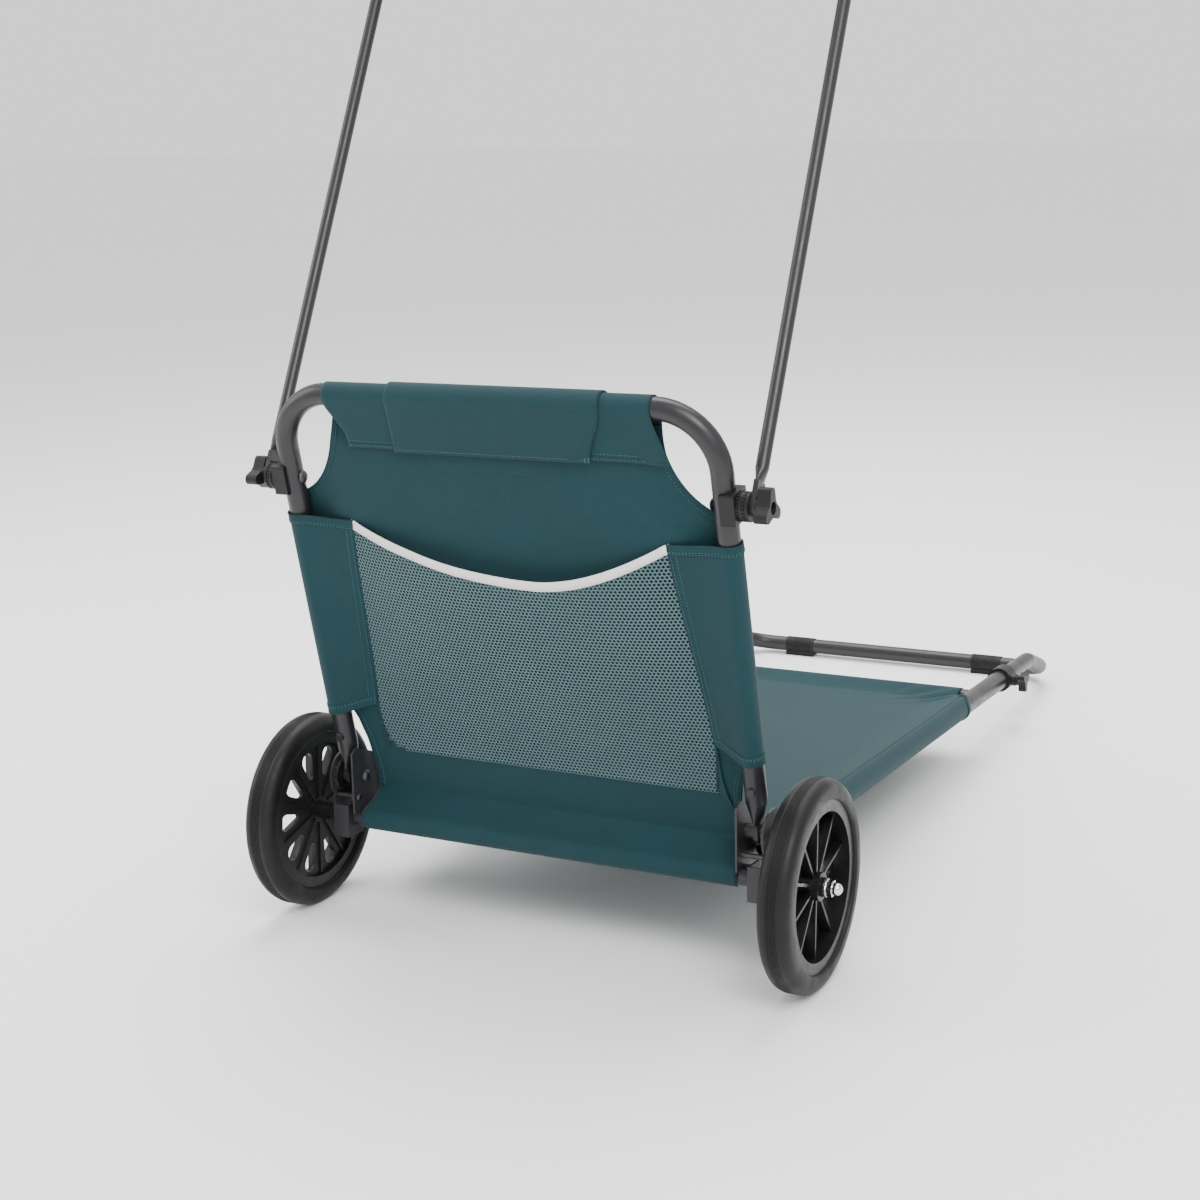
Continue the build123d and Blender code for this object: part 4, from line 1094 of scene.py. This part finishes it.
def canopy_line(run):
    """Point (y, z), the way out of the canopy and the way along it, at a run along a pole."""
    bend_length = CANOPY_BEND * CANOPY_BEND_R
    start = rod_up + CANOPY_AHEAD
    if run < CANOPY_AHEAD:
        return (0.0, rod_up + run), (-1.0, 0.0), (0.0, 1.0)
    turn = min(CANOPY_BEND, (run - CANOPY_AHEAD) / CANOPY_BEND_R)
    y = CANOPY_BEND_R * (1 - math.cos(turn))
    z = start + CANOPY_BEND_R * math.sin(turn)
    way = (math.sin(turn), math.cos(turn))
    rest = max(0.0, run - CANOPY_AHEAD - bend_length)
    return (y + way[0] * rest, z + way[1] * rest), (-way[1], way[0]), way


def canopy_point(x, run, lift):
    """Point across at x, lifted off the curve through the poles' middles."""
    (y, z), out, _ = canopy_line(run)
    return pole @ Vector((x, y + out[0] * lift, z + out[1] * lift))


def canopy_dip(c, run, end):
    """How far the sheet hangs between the poles, at share c of its half width."""
    return CANOPY_DIP * (1 - c * c) * smoothstep(0, DIP_RUN, run) * (1 - smoothstep(end - DIP_RUN, end, run))


def canopy_sheet():
    """One sheet over both poles, rolled round the cross rod and the front bar."""
    corner = CANOPY_CORNER + 8 * MM
    rows = []
    for run in steps(0, CANOPY_TOTAL, 9 * MM):
        near_end = max(0.0, 1 - (CANOPY_TOTAL - run) / corner)
        half = pole_x - corner * (1 - math.sqrt(max(0.0, 1 - near_end ** 2)))
        row = []
        for c in steps(-1, 1, 0.025):
            wave = 0.9 * MM * ripple(half * c, run * 0.6, 14, 11.3) * (1 - c ** 4)
            lift = CANOPY_SLEEVE_R - canopy_dip(c, run, CANOPY_TOTAL) + wave
            row.append(canopy_point(half * c, run, lift))
        rows.append(row)
    return finish_soft(sheet_of("canopy_sheet", rows), "canopy", "canopy_fabric")


def canopy_sleeve(side):
    """Edge of the sheet, from the top of a pole round its outside and back to the sheet."""
    end = CANOPY_TOTAL - CANOPY_CORNER - 12 * MM
    round_pole = arc((0, 0), CANOPY_SLEEVE_R, 90, -150, 16)
    profile = round_pole + straight(round_pole[-1], (-30 * MM, CANOPY_SLEEVE_R - 2.2 * MM), 1 / 6)
    rows = []
    sewn = [[], []]
    for run in steps(8 * MM, end, 9 * MM):
        rows.append([canopy_point(side * (pole_x + a), run, b) for a, b in profile])
        way_out = pole.to_3x3() @ Vector((0, *canopy_line(run)[1]))
        for line, inset in zip(sewn, CANOPY_SEAM):
            dip = canopy_dip((pole_x - inset) / pole_x, run, end + 70 * MM)
            lift = CANOPY_SLEEVE_R - dip + 0.8 * MM
            line.append((canopy_point(side * (pole_x - inset), run, lift), way_out))
    finish_soft(sheet_of(f"canopy_sleeve_{MARK[side]}", rows), "canopy")
    finish_soft(stitches(f"canopy_stitches_{MARK[side]}", sewn), "canopy")


def canopy_roll(name, run, tube_radius, half, sign):
    """Cloth round a cross bar at one end of the canopy, sewn back under the sheet. sign is 1 at the
    end away from the cart and -1 at the cross rod."""
    (y, z), out, way = canopy_line(run)

    def beside(a, b):
        return y + way[0] * a + out[0] * b, z + way[1] * a + out[1] * b

    profile = [beside(a * sign, b) for a, b in arc((0, 0), tube_radius + 1.0 * MM, 90, -160, 20)]
    profile += straight(profile[-1], beside(-26 * MM * sign, POLE_R - 1.2 * MM), 0.2)
    rows = [[pole @ Vector((x, *point)) for x in steps(-half, half, 8 * MM)] for point in profile]
    finish_soft(sheet_of(name, rows), "canopy")


# ---- tyres ----
SHOULDER = 11 * MM
TREAD_RINGS = 7
TREAD_GROOVE = in_mm((-0.9, 0.05), (-0.3, 0.42), (0.3, 0.42), (0.9, 0.05))    # across, deep
TYRE_TURNS = 144             # faces round the tyre


def tyre(side):
    """Solid tyre with rounded shoulders and fine rings round its tread."""
    name = f"tyre_{MARK[side]}"
    low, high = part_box(name)
    center = (low + high) / 2
    radius, half = (high.z - low.z) / 2, (high.x - low.x) / 2
    seat = radius - 20.2 * MM
    inner = half - SHOULDER
    outline = [(-half + 3 * MM, seat), (-half + 0.6 * MM, seat + 1.2 * MM), (-half, seat + 3 * MM),
               (-half + 0.2 * MM, radius - SHOULDER)]
    outline += arc((-inner, radius - SHOULDER), SHOULDER - 0.3 * MM, 172, 96, 9)
    flank = outline[:13]
    for k in range(TREAD_RINGS):
        x = -inner + 2 * inner * (k + 0.5) / TREAD_RINGS
        outline += [(x + a, radius - b) for a, b in TREAD_GROOVE]
    outline += [(-a, b) for a, b in reversed(flank)]
    points, faces, uvs = [], [], []
    n = len(outline)
    for t in range(TYRE_TURNS):
        angle = 2 * math.pi * t / TYRE_TURNS
        for x, r in outline:
            points.append(center + Vector((x, r * math.cos(angle), r * math.sin(angle))))
            uvs.append((x, angle * radius))
        for k in range(n):
            a, b = t * n + k, t * n + (k + 1) % n
            ahead = n if t < TYRE_TURNS - 1 else n - n * TYRE_TURNS
            faces.append((a, b, b + ahead, a + ahead))
    made = new_piece(f"tyre_ring_{MARK[side]}", points, faces, TYRE, uvs)
    finish_soft(made, f"wheel_{MARK[side]}", name, slot="tyre_rubber")


# ---- build ----
panel = back_panel()
for side in (1, -1):
    side_sleeve(side)
    sleeve_trim(side)
    low_trim(side)
seam_tail()
top_sleeve()
top_trim()
for side in (1, -1):
    cut_trim(side)
net = mesh_net()
pocket_tape()
flap = pillow_flap()
head_pillow()
deck = deck_sheet()
for side in (1, -1):
    deck_sleeve(side)
front_hem()
canopy = canopy_sheet()
for side in (1, -1):
    canopy_sleeve(side)
canopy_roll("canopy_rear_roll", 0.0, ROD_R, pole_x - 12 * MM, -1)
canopy_roll("canopy_front_roll", CANOPY_TOTAL, POLE_R, pole_x - CANOPY_CORNER - 10 * MM, 1)
for side in (1, -1):
    tyre(side)


# ---- floor and light ----
FLOOR_HALF = 30              # metres


def make_floor():
    m = Nodes("floor", (0.95, 0.95, 0.95), 0.7)
    m.tint(m.noise(m.place(), 3, 2), 0.99, 1.01)
    corners = [Vector((x * FLOOR_HALF, y * FLOOR_HALF, 0)) for x, y in ((-1, -1), (1, -1), (1, 1), (-1, 1))]
    new_piece("floor", corners, [(0, 1, 2, 3)], m.material)


def area_light(name, at, aim, size, power):
    data = bpy.data.lights.new(name, "AREA")
    data.shape = "RECTANGLE"
    data.size, data.size_y = size
    data.energy = power
    lamp = linked(name, data)
    lamp.location = at
    lamp.rotation_euler = (Vector(aim) - Vector(at)).to_track_quat("-Z", "Y").to_euler()


def make_light():
    world = bpy.data.worlds.new("studio")
    bpy.context.scene.world = world
    world.use_nodes = True
    background = world.node_tree.nodes["Background"]
    background.inputs["Color"].default_value = (1, 1, 1, 1)
    background.inputs["Strength"].default_value = 1.25
    area_light("key", (1.5, -2.0, 2.4), (0, -0.2, 0.3), (1.4, 1.4), 70)
    area_light("top", (-0.4, 0.9, 3.0), (0, 0.2, 0.1), (2.4, 2.4), 130)
    area_light("left", (-2.4, -1.2, 1.6), (0, -0.2, 0.4), (1.2, 1.8), 30)


make_floor()
make_light()
